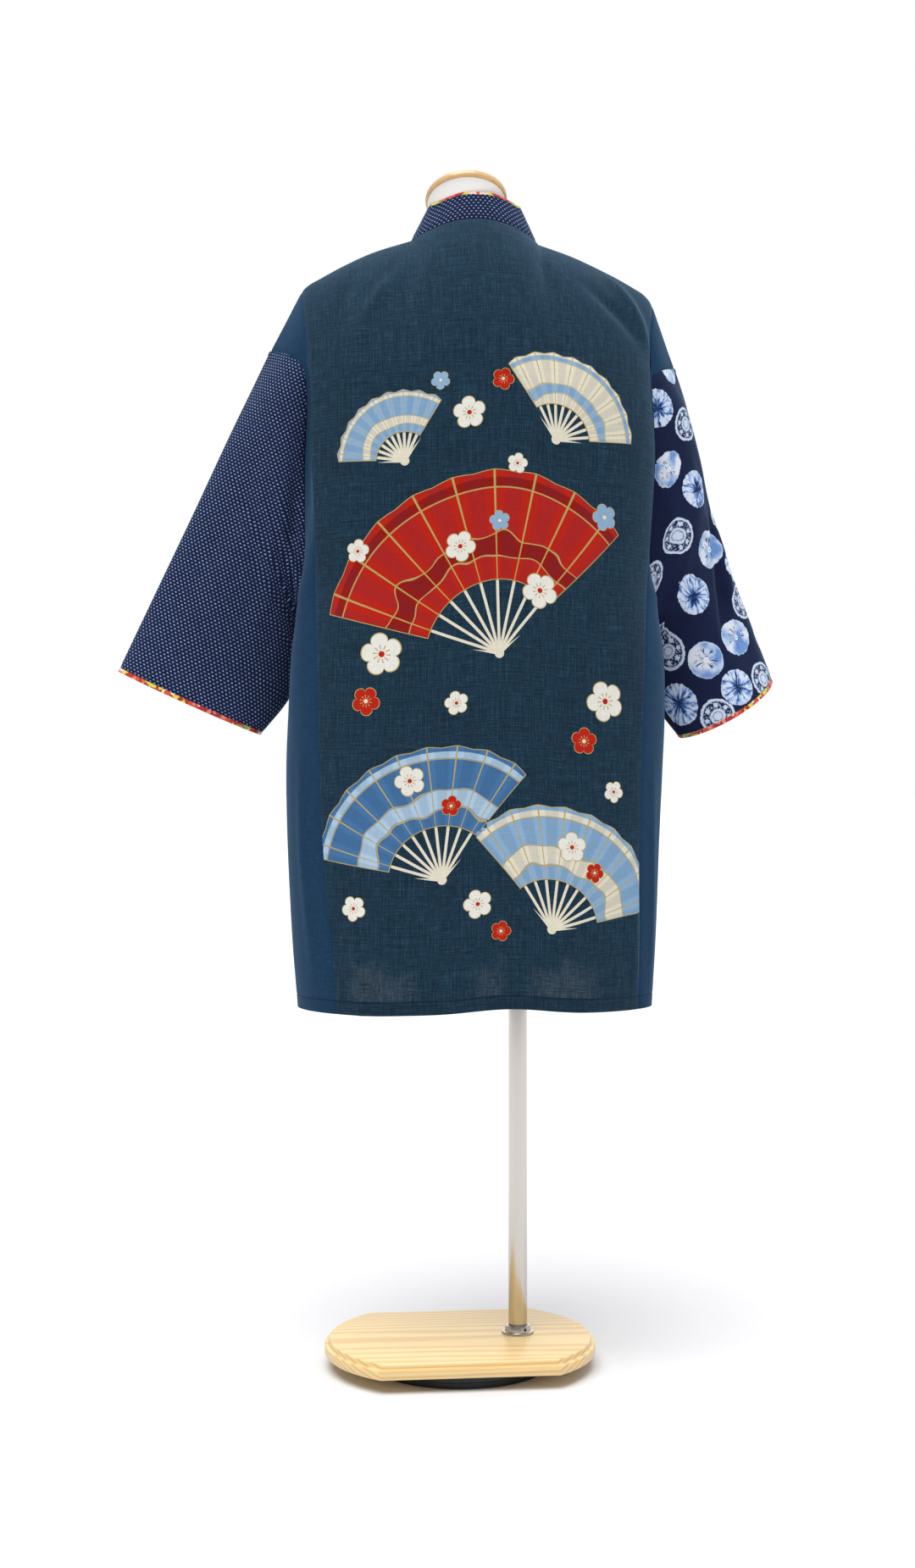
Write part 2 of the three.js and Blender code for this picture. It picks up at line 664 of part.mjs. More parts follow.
// The seam that one collar half is sewn to: half of the neck seam, then the front's inner edge.
function collarSeam(side) {
  const middle = sideCount + panelSteps.length;
  const neckPoints = [0, ...neckSteps.keys().map((index) => index + 1)].map((offset) => ({
    point: backColumns[middle + side * offset][lastRow],
    along: offset / neckSteps.length,
  }));
  const edge = side < 0 ? leftFrontColumns[0] : rightFrontColumns[frontLast];
  const frontPoints = edge.toReversed().slice(1).map((point) => ({
    point,
    along:
      point.z > coat.bendZ
        ? 1 + (neck.sideZ - point.z) / (neck.sideZ - coat.bendZ)
        : 2 + (coat.bendZ - point.z) / (coat.bendZ - coat.hemZ),
  }));
  return [...neckPoints, ...frontPoints];
}

function collarColumns(side) {
  return collarSeam(side).map(({ point, along }) => {
    const stand = readTable(collarStand, 'along', along);
    const way = vector(-side * stand.inward, stand.forward, stand.up);
    const reach = (length) => point.clone().addScaledVector(way.clone().normalize(), length);
    const width = way.length();
    // the seam opens a little where the collar turns over the shoulder
    const offTurn = (along - 1) / collar.turnReach;
    const gap = cloth.seamGap + collar.turnGap * Math.exp(-(offTurn ** 2));
    return { seam: reach(gap), middle: reach(width / 2), edge: reach(width), reach, width };
  });
}

function addCollar(side, name, pipingName) {
  const stations = collarColumns(side);
  // the two halves part by one seam gap at the centre back
  const half = vector((side * cloth.seamGap) / 2, 0, 0);
  for (const key of ['seam', 'middle', 'edge']) stations[0][key].add(half);
  const columns = stations.map((station) => [station.seam, station.middle, station.edge]);
  const normals = gridNormals(columns);
  if (normals[0][1].direction.y > 0) flipNormals(normals);
  for (const normal of normals[0]) normal.direction.setX(0).normalize();
  addCloth(name, { points: columns, normals }, cloth.collarWall, dottedNavy);
  const ribbon = stations.map((station, index) => {
    const low = station.width + cloth.seamGap;
    const ends = [station.reach(low), station.reach(low + collar.pipingWidth)];
    if (index === 0) for (const end of ends) end.add(half);
    return ends;
  });
  const ribbonNormals = normals.map((column) => [column[2], column[2]]);
  addCloth(pipingName, { points: ribbon, normals: ribbonNormals }, cloth.pipingWall, floral);
}

addCollar(-1, 'collar_left', 'collar_piping_left');
addCollar(1, 'collar_right', 'collar_piping_right');

// ---------------------------------------------------------------- dress form and stand

function toManifold(geometry) {
  const plain = geometry.clone();
  plain.deleteAttribute('normal');
  plain.deleteAttribute('uv');
  const merged = mergeVertices(plain, 1e-3);
  const vertProperties = new Float32Array(merged.attributes.position.array);
  const triVerts = new Uint32Array(merged.index.array);
  return new wasm.Manifold(new wasm.Mesh({ numProp: 3, vertProperties, triVerts }));
}

function fromManifold(solid) {
  const mesh = solid.getMesh();
  const geometry = new THREE.BufferGeometry();
  geometry.setAttribute('position', new THREE.BufferAttribute(mesh.vertProperties, 3));
  geometry.setIndex(new THREE.BufferAttribute(mesh.triVerts, 1));
  geometry.computeVertexNormals();
  return geometry;
}

// A closed body through a stack of rings, capped flat at both ends.
function stackRings(rings) {
  const count = rings[0].length;
  const positions = rings.flat();
  const triangles = [];
  for (let i = 0; i < rings.length - 1; i++) {
    for (let j = 0; j < count; j++) {
      const next = (j + 1) % count;
      const above = (i + 1) * count;
      const [a, b, c, d] = [i * count + j, i * count + next, above + next, above + j];
      triangles.push([a, b, c], [a, c, d]);
    }
  }
  const top = (rings.length - 1) * count;
  for (let j = 1; j < count - 1; j++) {
    triangles.push([0, j + 1, j], [top, top + j, top + j + 1]);
  }
  return geometryFrom(positions, triangles);
}

function formRing(power, centreX, centreY, halfWidth, halfDepth, heightAt) {
  return Array.from({ length: form.segments }, (_, index) => {
    const angle = (2 * Math.PI * index) / form.segments;
    const round = (value) => Math.sign(value) * Math.abs(value) ** (2 / power);
    const x = centreX + halfWidth * round(Math.cos(angle));
    const y = centreY + halfDepth * round(Math.sin(angle));
    return vector(x, y, heightAt(y));
  });
}

// How far out the coat's left shoulder line is at a height.
function shoulderReach(z) {
  let reach = neck.halfWidth;
  while (topLine(-reach).z > z) reach += formShoulder.searchStep;
  return reach;
}

function formTorso() {
  const level = (z) => () => z;
  const body = formRings.map((ring) =>
    formRing(form.power, form.centreX, ring.centreY, ring.halfWidth, ring.halfDepth, level(ring.z)),
  );
  const offCentre = coat.centreX - form.centreX;
  const { under, centreY, widest } = formShoulder;
  const shoulders = formShoulderRings.map(({ z, halfDepth }) => {
    const halfWidth = Math.min(widest, shoulderReach(z + under) - offCentre);
    return formRing(form.shoulderPower, form.centreX, centreY, halfWidth, halfDepth, level(z));
  });
  const neckRings = formNeckRings.map((ring) =>
    formRing(form.neckPower, form.neckX, ring.centreY, ring.halfWidth, ring.halfDepth, level(ring.z)),
  );
  const tilt = THREE.MathUtils.degToRad(neckCap.tilt);
  const capDepth = neckCap.thickness / 2 / Math.cos(tilt) + neckCap.gap;
  const tilted = (y) => neckCap.centreZ - capDepth - (y - neckCap.centreY) * Math.tan(tilt);
  const { halfWidth, halfDepth } = neckTop;
  const top = formRing(form.neckPower, form.neckX, neckCap.centreY, halfWidth, halfDepth, tilted);
  const torso = toManifold(stackRings([...body, ...shoulders, ...neckRings, top]));
  const bottomZ = formRings[0].z;
  const socket = new THREE.CylinderGeometry(
    pole.radius + cloth.seamGap,
    pole.radius + cloth.seamGap,
    pole.socketDepth * 2,
    pole.segments,
  );
  socket.rotateX(Math.PI / 2).translate(pole.x, pole.y, bottomZ);
  return fromManifold(torso.subtract(toManifold(socket)));
}

// A round solid with softened rims, standing on its own bottom.
function roundDisc(radius, height, edge, segments) {
  const profile = [
    [0, 0],
    [radius - edge, 0],
    [radius, edge],
    [radius, height - edge],
    [radius - edge, height],
    [0, height],
  ].map(([x, y]) => new THREE.Vector2(x, y));
  return new THREE.LatheGeometry(profile, segments).rotateX(Math.PI / 2);
}

function flangeRing() {
  const inner = pole.radius + cloth.seamGap;
  const { radius, thickness, hubRadius, hubHeight, edge } = flange;
  const profile = [
    [inner, 0],
    [radius, 0],
    [radius, thickness - edge],
    [radius - edge, thickness],
    [hubRadius, thickness],
    [hubRadius, hubHeight - edge],
    [hubRadius - edge, hubHeight],
    [inner, hubHeight],
    [inner, 0],
  ].map(([x, y]) => new THREE.Vector2(x, y));
  return new THREE.LatheGeometry(profile, flange.segments).rotateX(Math.PI / 2);
}

// The board's outline: straight front and back edges, and a round arc at each end.
function boardOutline(inset) {
  const halfStraight = board.straight / 2;
  const halfWidth = board.width / 2;
  const sagitta = board.length / 2 - halfStraight;
  const radius = (halfWidth ** 2 + sagitta ** 2) / (2 * sagitta);
  const middle = board.length / 2 - radius;
  const turn = Math.asin(halfWidth / radius);
  const outline = [];
  for (const end of [0, Math.PI]) {
    for (let index = 0; index <= board.arcSteps; index++) {
      const angle = end - turn + (2 * turn * index) / board.arcSteps;
      const reach = radius - inset;
      const centre = end === 0 ? middle : -middle;
      const y = clamp(reach * Math.sin(angle), -halfWidth, halfWidth);
      outline.push(new THREE.Vector2(centre + reach * Math.cos(angle), y));
    }
  }
  return new THREE.Shape(outline);
}

function baseBoard() {
  const flat = { bevelEnabled: false };
  const lowHeight = board.thickness - board.stepHeight;
  const low = new THREE.ExtrudeGeometry(boardOutline(0), { ...flat, depth: lowHeight });
  const high = new THREE.ExtrudeGeometry(boardOutline(board.step), { ...flat, depth: board.thickness });
  return fromManifold(toManifold(low).add(toManifold(high)));
}

add('form_torso', formTorso(), '#efece4', 0.85);

const capDisc = roundDisc(neckCap.radius, neckCap.thickness, neckCap.edge, neckCap.segments);
const cap = add('neck_cap', capDisc, '#d9a566', 0.5);
cap.rotation.x = -THREE.MathUtils.degToRad(neckCap.tilt);
const capDown = vector(0, 0, -neckCap.thickness / 2).applyEuler(cap.rotation);
cap.position.set(form.neckX, neckCap.centreY, neckCap.centreZ).add(capDown);

const boardTop = board.z + board.thickness;
const poleFoot = boardTop + cloth.seamGap;
const poleTop = formRings[0].z + pole.socketDepth - cloth.seamGap;
const rod = new THREE.CylinderGeometry(pole.radius, pole.radius, poleTop - poleFoot, pole.segments);
const rodMesh = add('pole', rod.rotateX(Math.PI / 2), '#b9b4ac', 0.3, 1);
rodMesh.position.set(pole.x, pole.y, (poleTop + poleFoot) / 2);

const flangeMesh = add('pole_flange', flangeRing(), '#c9c6c0', 0.25, 1);
flangeMesh.position.set(pole.x, pole.y, poleFoot);

add('base_board', baseBoard(), '#ecd2a0', 0.55).position.z = board.z;

const pad = roundDisc(foot.padRadius, foot.padHeight, foot.edge, foot.segments);
add('foot_pad', pad, '#16171a', 0.6);
const disc = roundDisc(foot.discRadius, foot.discHeight, foot.edge, foot.segments);
add('foot_disc', disc, '#1b1c1f', 0.5).position.z = foot.padHeight + cloth.seamGap;

export default group;
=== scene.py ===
# Happi coat of pieced cotton on a limbless dress form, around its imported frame.
# Shapes are worked out in millimetres and scaled to metres when they become meshes.
import math

import bpy
import numpy as np
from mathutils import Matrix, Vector


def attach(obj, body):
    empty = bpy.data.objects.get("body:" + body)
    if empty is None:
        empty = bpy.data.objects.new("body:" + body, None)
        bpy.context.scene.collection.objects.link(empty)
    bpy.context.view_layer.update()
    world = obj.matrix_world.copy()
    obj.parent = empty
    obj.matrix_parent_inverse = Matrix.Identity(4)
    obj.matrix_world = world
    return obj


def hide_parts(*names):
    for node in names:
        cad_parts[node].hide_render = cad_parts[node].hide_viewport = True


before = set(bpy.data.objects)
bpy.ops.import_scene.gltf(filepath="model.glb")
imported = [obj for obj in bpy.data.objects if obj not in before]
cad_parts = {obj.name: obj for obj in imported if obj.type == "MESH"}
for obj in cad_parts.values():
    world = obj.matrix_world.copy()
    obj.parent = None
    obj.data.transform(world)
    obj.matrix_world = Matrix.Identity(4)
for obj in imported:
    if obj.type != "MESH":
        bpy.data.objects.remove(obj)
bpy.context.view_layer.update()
bpy.ops.object.select_all(action="DESELECT")

mm = 0.001


def inkColour(hexCode):
    # sRGB hex to linear, as the shader sockets want it
    parts = [int(hexCode[i:i + 2], 16) / 255 for i in (1, 3, 5)]
    linear = [c / 12.92 if c <= 0.04045 else ((c + 0.055) / 1.055) ** 2.4 for c in parts]
    return (*linear, 1.0)


def namedColumns(names, rows):
    return {"names": names.split(), "rows": np.array(rows, float)}


def readTable(table, value):
    # smooth curves through a table's rows, whose first column is the key
    rows = table["rows"]
    keys = rows[:, 0]
    value = np.asarray(value, float)
    low = np.searchsorted(keys[1:-1], value, side="left")
    before, start, end = rows[np.maximum(low - 1, 0)], rows[low], rows[low + 1]
    after = rows[np.minimum(low + 2, len(rows) - 1)]
    span = end[..., :1] - start[..., :1]
    t = np.clip((value[..., None] - start[..., :1]) / span, 0, 1)
    startSlope = (end - before) / (end[..., :1] - before[..., :1]) * span
    endSlope = (after - start) / (after[..., :1] - start[..., :1]) * span
    rise = end - start
    mixed = (start + t * startSlope + t * t * (3 * rise - 2 * startSlope - endSlope)
             + t ** 3 * (startSlope + endSlope - 2 * rise))
    return {name: mixed[..., i] for i, name in enumerate(table["names"])}


def smoothStep(value, low, high):
    t = np.clip((value - low) / (high - low), 0, 1)
    return t * t * (3 - 2 * t)


def pointsOf(x, y, z):
    return np.stack(np.broadcast_arrays(x, y, z), axis=-1).astype(float)


def lengthsAlong(points, axis):
    # running length of a grid of points along one of its axes
    steps = np.linalg.norm(np.diff(points, axis=axis), axis=-1)
    zero = np.zeros_like(np.take(steps, [0], axis=axis))
    return np.cumsum(np.concatenate([zero, steps], axis=axis), axis=axis)


# the coat's cut in mm, seen as it hangs: x to the right of its own middle, z up from the floor
coat = {
    "centreX": 17, "hemZ": 421, "underarmZ": 899,
    "bendZ": 1060, "topLevel": 1250,  # above the bend the cloth leans in to the shoulder line
    "sectionPower": 2.4, "sideBulge": 9,  # how square the body is, how full its side strips are
    "shoulderPower": 3, "shoulderRound": 0.72, "shoulderTilt": 5, "shoulderShift": 3,
}
shoulderSkew = {"shiftFrom": 120, "shiftTo": 190, "tiltFrom": 205, "tiltTo": 239, "tiltLevel": 1120}
neck = {"halfWidth": 75, "backDepth": 50, "sideY": 6, "sideZ": 1317, "crownZ": 1361, "crownPower": 2.0}
hemLift = {"x": 25, "halfWidth": 62, "rise": 7, "topZ": 560}

bodySections = namedColumns("z halfWidth shift back front", [
    (421, 207.5, 0, 118, 120), (503, 214, 0, 119, 122), (620, 219.5, 0, 120.5, 124),
    (700, 222, 1.5, 122, 126), (760, 222, 4, 123, 127), (830, 219, 5, 124, 128),
    (899, 208, 3, 124.5, 129), (980, 214, 0, 126, 131), (1060, 217, 0, 128, 132),
])
panelSeams = namedColumns("z left right", [
    (421, 165.5, 182), (510, 173, 181.5), (606, 181, 181.5), (722, 186, 184), (860, 188.5, 190),
    (965, 190, 199), (1060, 194.5, 205), (1140, 196, 201), (1200, 200, 202), (1250, 203, 212),
])
armhole = namedColumns("level x y z bulge leftOut", [
    (899, 208, 0, 899, 9, 0), (935, 193, 13, 935, 5, 8), (985, 182, 22, 985, -1, 18),
    (1060, 179, 28, 1055, -5, 21), (1120, 183, 42, 1112, -4, 15), (1170, 197, 52, 1150, -1, 5),
    (1210, 217, 37, 1167, 2, 0), (1250, 239, 0, 1178, 0, 0),
])
shoulderLine = namedColumns("x z y", [
    (75, 1317, 6), (119, 1302, 5), (159, 1283.5, 5), (187, 1268, 4),
    (199, 1260.5, 3), (208, 1250, 2), (215, 1236, 1), (239, 1178, 0),
])
frontEdge = namedColumns("z x", [(421, 53), (760, 52), (1060, 52), (1160, 60), (1250, 75)])
collarStand = namedColumns("along inward forward up", [
    (0, 0, 7, 29), (0.5, 13, 5, 33), (1, 21, -5, 39), (1.25, 26, 8, 35),
    (1.5, 33, 14, 26), (1.75, 41, 9, 12), (2, 45, 3, 3), (3, 45, 1, 0),
])
# wide soft folds of the whole body: middle, lean, top, half width, rise
wideFolds = {
    "back": [(-128, 0.02, 640, 34, 9), (96, -0.03, 700, 40, 4), (-20, 0.03, 760, 46, 3)],
    "front": [(-140, 0.03, 780, 38, 8), (136, -0.03, 820, 40, 8)],
}
flips = {"back": -1, "front": 1}


def seamX(side, level):
    row = readTable(panelSeams, level)
    return np.where(np.asarray(side) < 0, -row["left"], row["right"])


def foldRise(face, x, z):
    rise = 0
    for middle, lean, topZ, halfWidth, height in wideFolds[face]:
        across = (x - middle - lean * (z - coat["hemZ"])) / halfWidth
        rise = rise + height * (1 - smoothStep(z, coat["hemZ"], topZ)) * np.exp(-across ** 2)
    return rise


def topLine(x):
    # the line over the shoulder, and the crown that the neck hole is cut out of
    skew = shoulderSkew
    away = np.abs(x)
    shift = coat["shoulderShift"] * smoothStep(away, skew["shiftFrom"], skew["shiftTo"])
    row = readTable(shoulderLine, np.abs(x - shift))
    drop = np.sign(x) * coat["shoulderTilt"] * smoothStep(away, skew["tiltFrom"], skew["tiltTo"])
    crown = 1 - np.clip(away / neck["halfWidth"], 0, 1) ** neck["crownPower"]
    inside = away < neck["halfWidth"]
    height = neck["sideZ"] + (neck["crownZ"] - neck["sideZ"]) * crown
    return np.where(inside, neck["sideY"], row["y"]), np.where(inside, height, row["z"] - drop)


def facePoint(face, across, level):
    # across runs from -1 at the left panel seam over the centre line to 1 at the right one
    across, level = np.broadcast_arrays(np.asarray(across, float), np.asarray(level, float))
    flip, power = flips[face], coat["sectionPower"]
    share = np.abs(across)
    lowLevel = np.minimum(level, coat["bendZ"])
    section = readTable(bodySections, lowLevel)
    lowX = share * seamX(across, lowLevel)
    away = np.minimum(np.abs(lowX - section["shift"]) / section["halfWidth"], 1)
    depth = section[face] * (1 - away ** power) ** (1 / power)
    lowY = flip * (depth + foldRise(face, lowX, lowLevel))
    lift = hemLift["rise"] * np.exp(-((lowX - hemLift["x"]) / hemLift["halfWidth"]) ** 2)
    lift = lift * (face == "back") * (1 - smoothStep(level, coat["hemZ"], hemLift["topZ"]))
    topX = share * seamX(across, coat["topLevel"])
    edgeY, edgeZ = topLine(topX)
    # above the bend the column leans over, all the way or to the neck seam
    reach = np.clip(np.abs(topX) / neck["halfWidth"], 0, 1)
    seamY = neck["sideY"] - neck["backDepth"] * np.sqrt(1 - reach ** 2)
    seamLean = np.clip((seamY - edgeY) / (lowY - edgeY), 0, 1)
    end = (1 - seamLean ** (1 / coat["shoulderRound"])) ** (1 / coat["shoulderPower"])
    end = np.where(reach >= 1, 1, end)
    rise = np.clip((level - coat["bendZ"]) / (coat["topLevel"] - coat["bendZ"]), 0, 1) * end
    lean = (1 - rise ** coat["shoulderPower"]) ** coat["shoulderRound"]
    z = np.where(level <= coat["bendZ"], level + lift, coat["bendZ"] + (edgeZ - coat["bendZ"]) * rise)
    return pointsOf(share * seamX(across, level), edgeY + (lowY - edgeY) * lean, z)


def outerEdge(face, side, level):
    # the side seam below the underarm and the armhole seam above it
    level = np.asarray(level, float)
    section = readTable(bodySections, np.minimum(level, coat["bendZ"]))
    row = readTable(armhole, level)
    below = level <= coat["underarmZ"]
    drop = side * coat["shoulderTilt"] * smoothStep(level, shoulderSkew["tiltLevel"], coat["topLevel"])
    outX = row["x"] + row["leftOut"] * (side < 0)
    x = section["shift"] + side * np.where(below, section["halfWidth"], outX)
    return pointsOf(x, np.where(below, 0, flips[face] * row["y"]),
                    np.where(below, level, row["z"] - drop))


def sidePoint(face, side, across, level):
    across, level = np.broadcast_arrays(np.asarray(across, float), np.asarray(level, float))
    seam = facePoint(face, np.full_like(across, side), level)
    edge = outerEdge(face, side, level)
    chord = edge - seam
    outward = np.stack([-chord[..., 1], chord[..., 0], np.zeros_like(level)], axis=-1)
    outward *= -side * flips[face] / np.maximum(np.linalg.norm(outward, axis=-1, keepdims=True), 1e-6)
    bulge = np.where(level > coat["underarmZ"], readTable(armhole, level)["bulge"], coat["sideBulge"])
    lift = -4 * bulge * across * (1 - across)
    return seam + chord * across[..., None] + outward * lift[..., None]


# rows of the body's grids, closer together at the stitched hem and round the shoulder
hemRows = np.array([0, 1.5, 4, 8, 12, 13.6, 15, 16.4, 18, 22]) + coat["hemZ"]
cloth = {
    "spacing": 4.2, "shoulderRows": 72, "rollColumns": (0, 1.2, 2.6, 4.6),  # of the grids
    "wall": 0.8, "collarWall": 1.6, "pipingWall": 1.4,
    "seamDip": 0.7, "seamRoll": 2.6, "hemStitch": 15, "hemDip": 0.45, "stitchWidth": 1.1,
    "middle": (0, 0, 800), "weld": 0.00002, "smoothAngle": 50,
}


def evenSteps(low, high, spacing):
    # even steps that end at high and leave low itself out
    count = max(2, round(abs(high - low) / spacing))
    return np.linspace(low, high, count + 1)[1:]


bodyLevels = np.concatenate([
    hemRows,
    evenSteps(hemRows[-1], coat["underarmZ"], cloth["spacing"]),
    evenSteps(coat["underarmZ"], coat["bendZ"], cloth["spacing"]),
    coat["bendZ"] + (coat["topLevel"] - coat["bendZ"])
    * np.sin(evenSteps(0, 1, 1 / cloth["shoulderRows"]) * math.pi / 2),
])
underarmRow = int(np.argmin(np.abs(bodyLevels - coat["underarmZ"])))


def seamColumns(width, low=0.0, high=1.0):
    # shares of the way across a piece, with close columns where its seams roll in
    inset = np.array(cloth["rollColumns"]) / width * (high - low)
    middle = evenSteps(low + inset[-1], high - inset[-1], cloth["spacing"] / width * (high - low))
    return np.concatenate([low + inset, middle[:-1], (high - inset)[::-1]])


neckSteps = 18
# shares of the half panel: its columns' spacing, and the close ones beside its seam
panelCut = {"spacing": 0.0203, "edge": 0.022, "roll": (0.0126, 0.0058, 0)}
stripWidth, frontWidth = 78, 150
rolled = len(cloth["rollColumns"]) - 1


def halfAcross(side):
    # shares from the centre line to the panel seam, closer at the neck's side and the seam
    neckShare = neck["halfWidth"] / np.abs(seamX(side, coat["topLevel"]))
    neckPart = np.sin(np.linspace(0, math.pi / 2, neckSteps + 1)) * neckShare
    middlePart = evenSteps(neckShare, 1 - panelCut["edge"], panelCut["spacing"])
    return np.concatenate([neckPart, middlePart, 1 - np.array(panelCut["roll"])])


panelAcross = np.concatenate([-halfAcross(-1)[::-1], halfAcross(1)[1:]])
panelMiddle = int(np.argmin(np.abs(panelAcross)))
stripAcross = seamColumns(stripWidth)
panelGrid = facePoint("back", panelAcross[:, None], bodyLevels[None, :])
stripGrids = {side: sidePoint("back", side, stripAcross[:, None], bodyLevels[None, :])
              for side in (-1, 1)}


def frontGrid(side):
    # from the collar's seam out to the panel seam's place, and on to the outer edge
    top = neck["halfWidth"] / np.abs(seamX(side, coat["topLevel"]))
    low = readTable(frontEdge, bodyLevels)["x"] / np.abs(seamX(side, bodyLevels))
    inner = np.where(bodyLevels >= coat["topLevel"], top, low)
    shares = seamColumns(frontWidth)[:-rolled]
    across = inner[None, :] + (1 - inner[None, :]) * shares[:, None]
    inside = facePoint("front", side * across, bodyLevels[None, :])
    outside = sidePoint("front", side, stripAcross[rolled:][:, None], bodyLevels[None, :])
    return np.concatenate([inside, outside])


frontGrids = {side: frontGrid(side) for side in (-1, 1)}


# the sleeves' top fold, underarm line and half depths, from armhole (t 0) to cuff (t 1)
leftSleeve = namedColumns("t topX topY topZ lowX lowY lowZ back front", [
    (0, -239, 0, 1183, -205, 0, 899, 50, 50), (0.1, -257, 2, 1145, -210, 15, 889, 50, 50),
    (0.25, -284, 5, 1089, -202.5, 47, 866, 48, 46), (0.5, -327, 9, 996, -199, 62, 828, 42, 40),
    (0.75, -371, 13, 903, -215, 58, 783, 37, 34), (1, -412.5, 18, 815.5, -247, 32, 741.5, 34, 28),
])
rightSleeve = namedColumns("t topX topY topZ lowX lowY lowZ back front", [
    (0, 239, 0, 1173, 211, 0, 899, 50, 50), (0.12, 256, 12, 1131, 222, 15, 887, 46, 50),
    (0.25, 270, 21, 1082, 222, 42, 866, 44, 52), (0.45, 291, 38, 1010, 219, 63, 838, 43, 52),
    (0.6, 313, 53, 955, 222, 66, 815, 44, 50), (0.8, 345, 70, 884, 233, 64, 772, 46, 48),
    (1, 375, 87, 815.5, 254, 48, 739.5, 43, 46),
])
# each sleeve's one long trough: where it lies around the sleeve and along it, and how deep
sleeves = {
    -1: {"table": leftSleeve, "around": 0.72, "half": 0.12, "from": -0.05, "to": 0.5, "depth": 7},
    1: {"table": rightSleeve, "around": 0.3, "half": 0.1, "from": 0.35, "to": 0.98, "depth": 9},
}
sleeveCut = {"rows": 96, "stepGrowth": 1.15, "edgeSharpness": 1.2, "armholeReach": 0.32}
cuffPiping = {"from": 0.15, "to": 5, "rows": 7}


def sleevePoint(side, t, around):
    # around is 0 on the top fold, 1 under the arm and 2 on the top fold again
    made = sleeves[side]
    t, around = np.broadcast_arrays(np.asarray(t, float), np.asarray(around, float))
    row = readTable(made["table"], t)
    top = pointsOf(row["topX"], row["topY"], row["topZ"])
    low = pointsOf(row["lowX"], row["lowY"], row["lowZ"])
    half = (top - low) / 2
    ends = made["table"]["rows"][[0, -1]]
    run = (ends[1, 1:4] + ends[1, 4:7]) - (ends[0, 1:4] + ends[0, 4:7])
    outward = np.cross(half, run)
    outward /= np.linalg.norm(outward, axis=-1, keepdims=True)
    outward = np.where(outward[..., 1:2] > 0, -outward, outward)
    angle = around * math.pi
    bend = np.sign(np.sin(angle)) * np.abs(np.sin(angle)) ** sleeveCut["edgeSharpness"]
    troughs = made["depth"] * np.exp(-((around - made["around"]) / made["half"]) ** 2)
    span = (t - made["from"]) / (made["to"] - made["from"])
    troughs = troughs * np.where((span > 0) & (span < 1), np.sin(math.pi * np.clip(span, 0, 1)), 0)
    depth = np.where(around < 1, row["back"] - troughs, row["front"])
    return (top + low) / 2 + half * np.cos(angle)[..., None] + outward * (depth * bend)[..., None]


def sleeveGrid(side):
    # opened out under the arm: columns run from there up the front, over the top fold and
    # down the back, rows from the armhole to the cuff
    heights = bodyLevels[underarmRow:]
    back = outerEdge("back", side, heights)
    reach = lengthsAlong(back[::-1], 0)
    around = (reach / reach[-1])[::-1]  # 1 under the arm, 0 at the top
    loop = np.concatenate([back * (1, -1, 1), back[::-1][1:]])
    around = np.concatenate([2 - around, around[::-1][1:]])
    around = np.where(around >= 2, 0, around)
    ways = np.linspace(0, 1, sleeveCut["rows"] + 1) ** sleeveCut["stepGrowth"]
    off = loop - sleevePoint(side, 0, around)
    hold = np.clip(1 - ways / sleeveCut["armholeReach"], 0, 1) ** 2
    surface = sleevePoint(side, ways[None, :], around[:, None])
    return surface + off[:, None, :] * hold[None, :, None]


sleeveGrids = {side: sleeveGrid(side) for side in (-1, 1)}


def cuffGrid(side):
    # carries the sleeve's own last rows on past its edge
    grid = sleeveGrids[side]
    way = grid[:, -1] - grid[:, -2]
    way /= np.linalg.norm(way, axis=-1, keepdims=True)
    reach = np.linspace(cuffPiping["from"], cuffPiping["to"], cuffPiping["rows"])
    return grid[:, -1:] + way[:, None, :] * reach[None, :, None]


def collarLine(side):
    # the seam from the centre back round the neck and down the front's inner edge
    neckColumns = [panelMiddle + side * i for i in range(neckSteps + 1)]
    neckPart = panelGrid[neckColumns, -1]
    alongNeck = np.linspace(0, 1, neckSteps + 1)
    frontPart = frontGrids[side][0][::-1][1:]
    z = frontPart[:, 2]
    high = 1 + (neck["sideZ"] - z) / (neck["sideZ"] - coat["bendZ"])
    low = 2 + (coat["bendZ"] - z) / (coat["bendZ"] - coat["hemZ"])
    alongFront = np.where(z > coat["bendZ"], high, low)
    return np.concatenate([neckPart, frontPart]), np.concatenate([alongNeck, alongFront])


collarCut = {
    "rows": 9, "seamGap": 0.3, "cornerGap": 1, "cornerReach": 0.15,  # clear of the neck's corner
    "halfGap": 0.15, "pipingFrom": 0.15, "pipingTo": 3.3, "pipingRows": 4,
}


def collarGrid(side, piping=False):
    # the band from its seam to its free edge, or the piping just beyond that edge
    cut = collarCut
    seam, along = collarLine(side)
    stand = readTable(collarStand, along)
    way = pointsOf(-side * stand["inward"], stand["forward"], stand["up"])
    width = np.linalg.norm(way, axis=-1)
    way /= width[:, None]
    gap = cut["seamGap"] + cut["cornerGap"] * np.exp(-((along - 1) / cut["cornerReach"]) ** 2)
    first = width + cut["pipingFrom"] if piping else gap
    last = width + cut["pipingTo"] if piping else width
    shares = np.linspace(0, 1, cut["pipingRows"] if piping else cut["rows"])
    reach = first[:, None] + (last - first)[:, None] * shares[None, :]
    grid = seam[:, None, :] + way[:, None, :] * reach[..., None]
    grid[0, :, 0] += side * cut["halfGap"]
    return grid


def gridNormals(grid):
    across = np.gradient(grid, axis=0)
    along = np.gradient(grid, axis=1)
    normals = np.cross(across, along)
    return normals / np.maximum(np.linalg.norm(normals, axis=-1, keepdims=True), 1e-9)


def outwardNormals(grid, inside):
    normals = gridNormals(grid)
    toward = np.sum(normals * (grid - inside))
    return normals if toward > 0 else -normals


creaseEnds = {"start": 0.06, "power": 0.8}


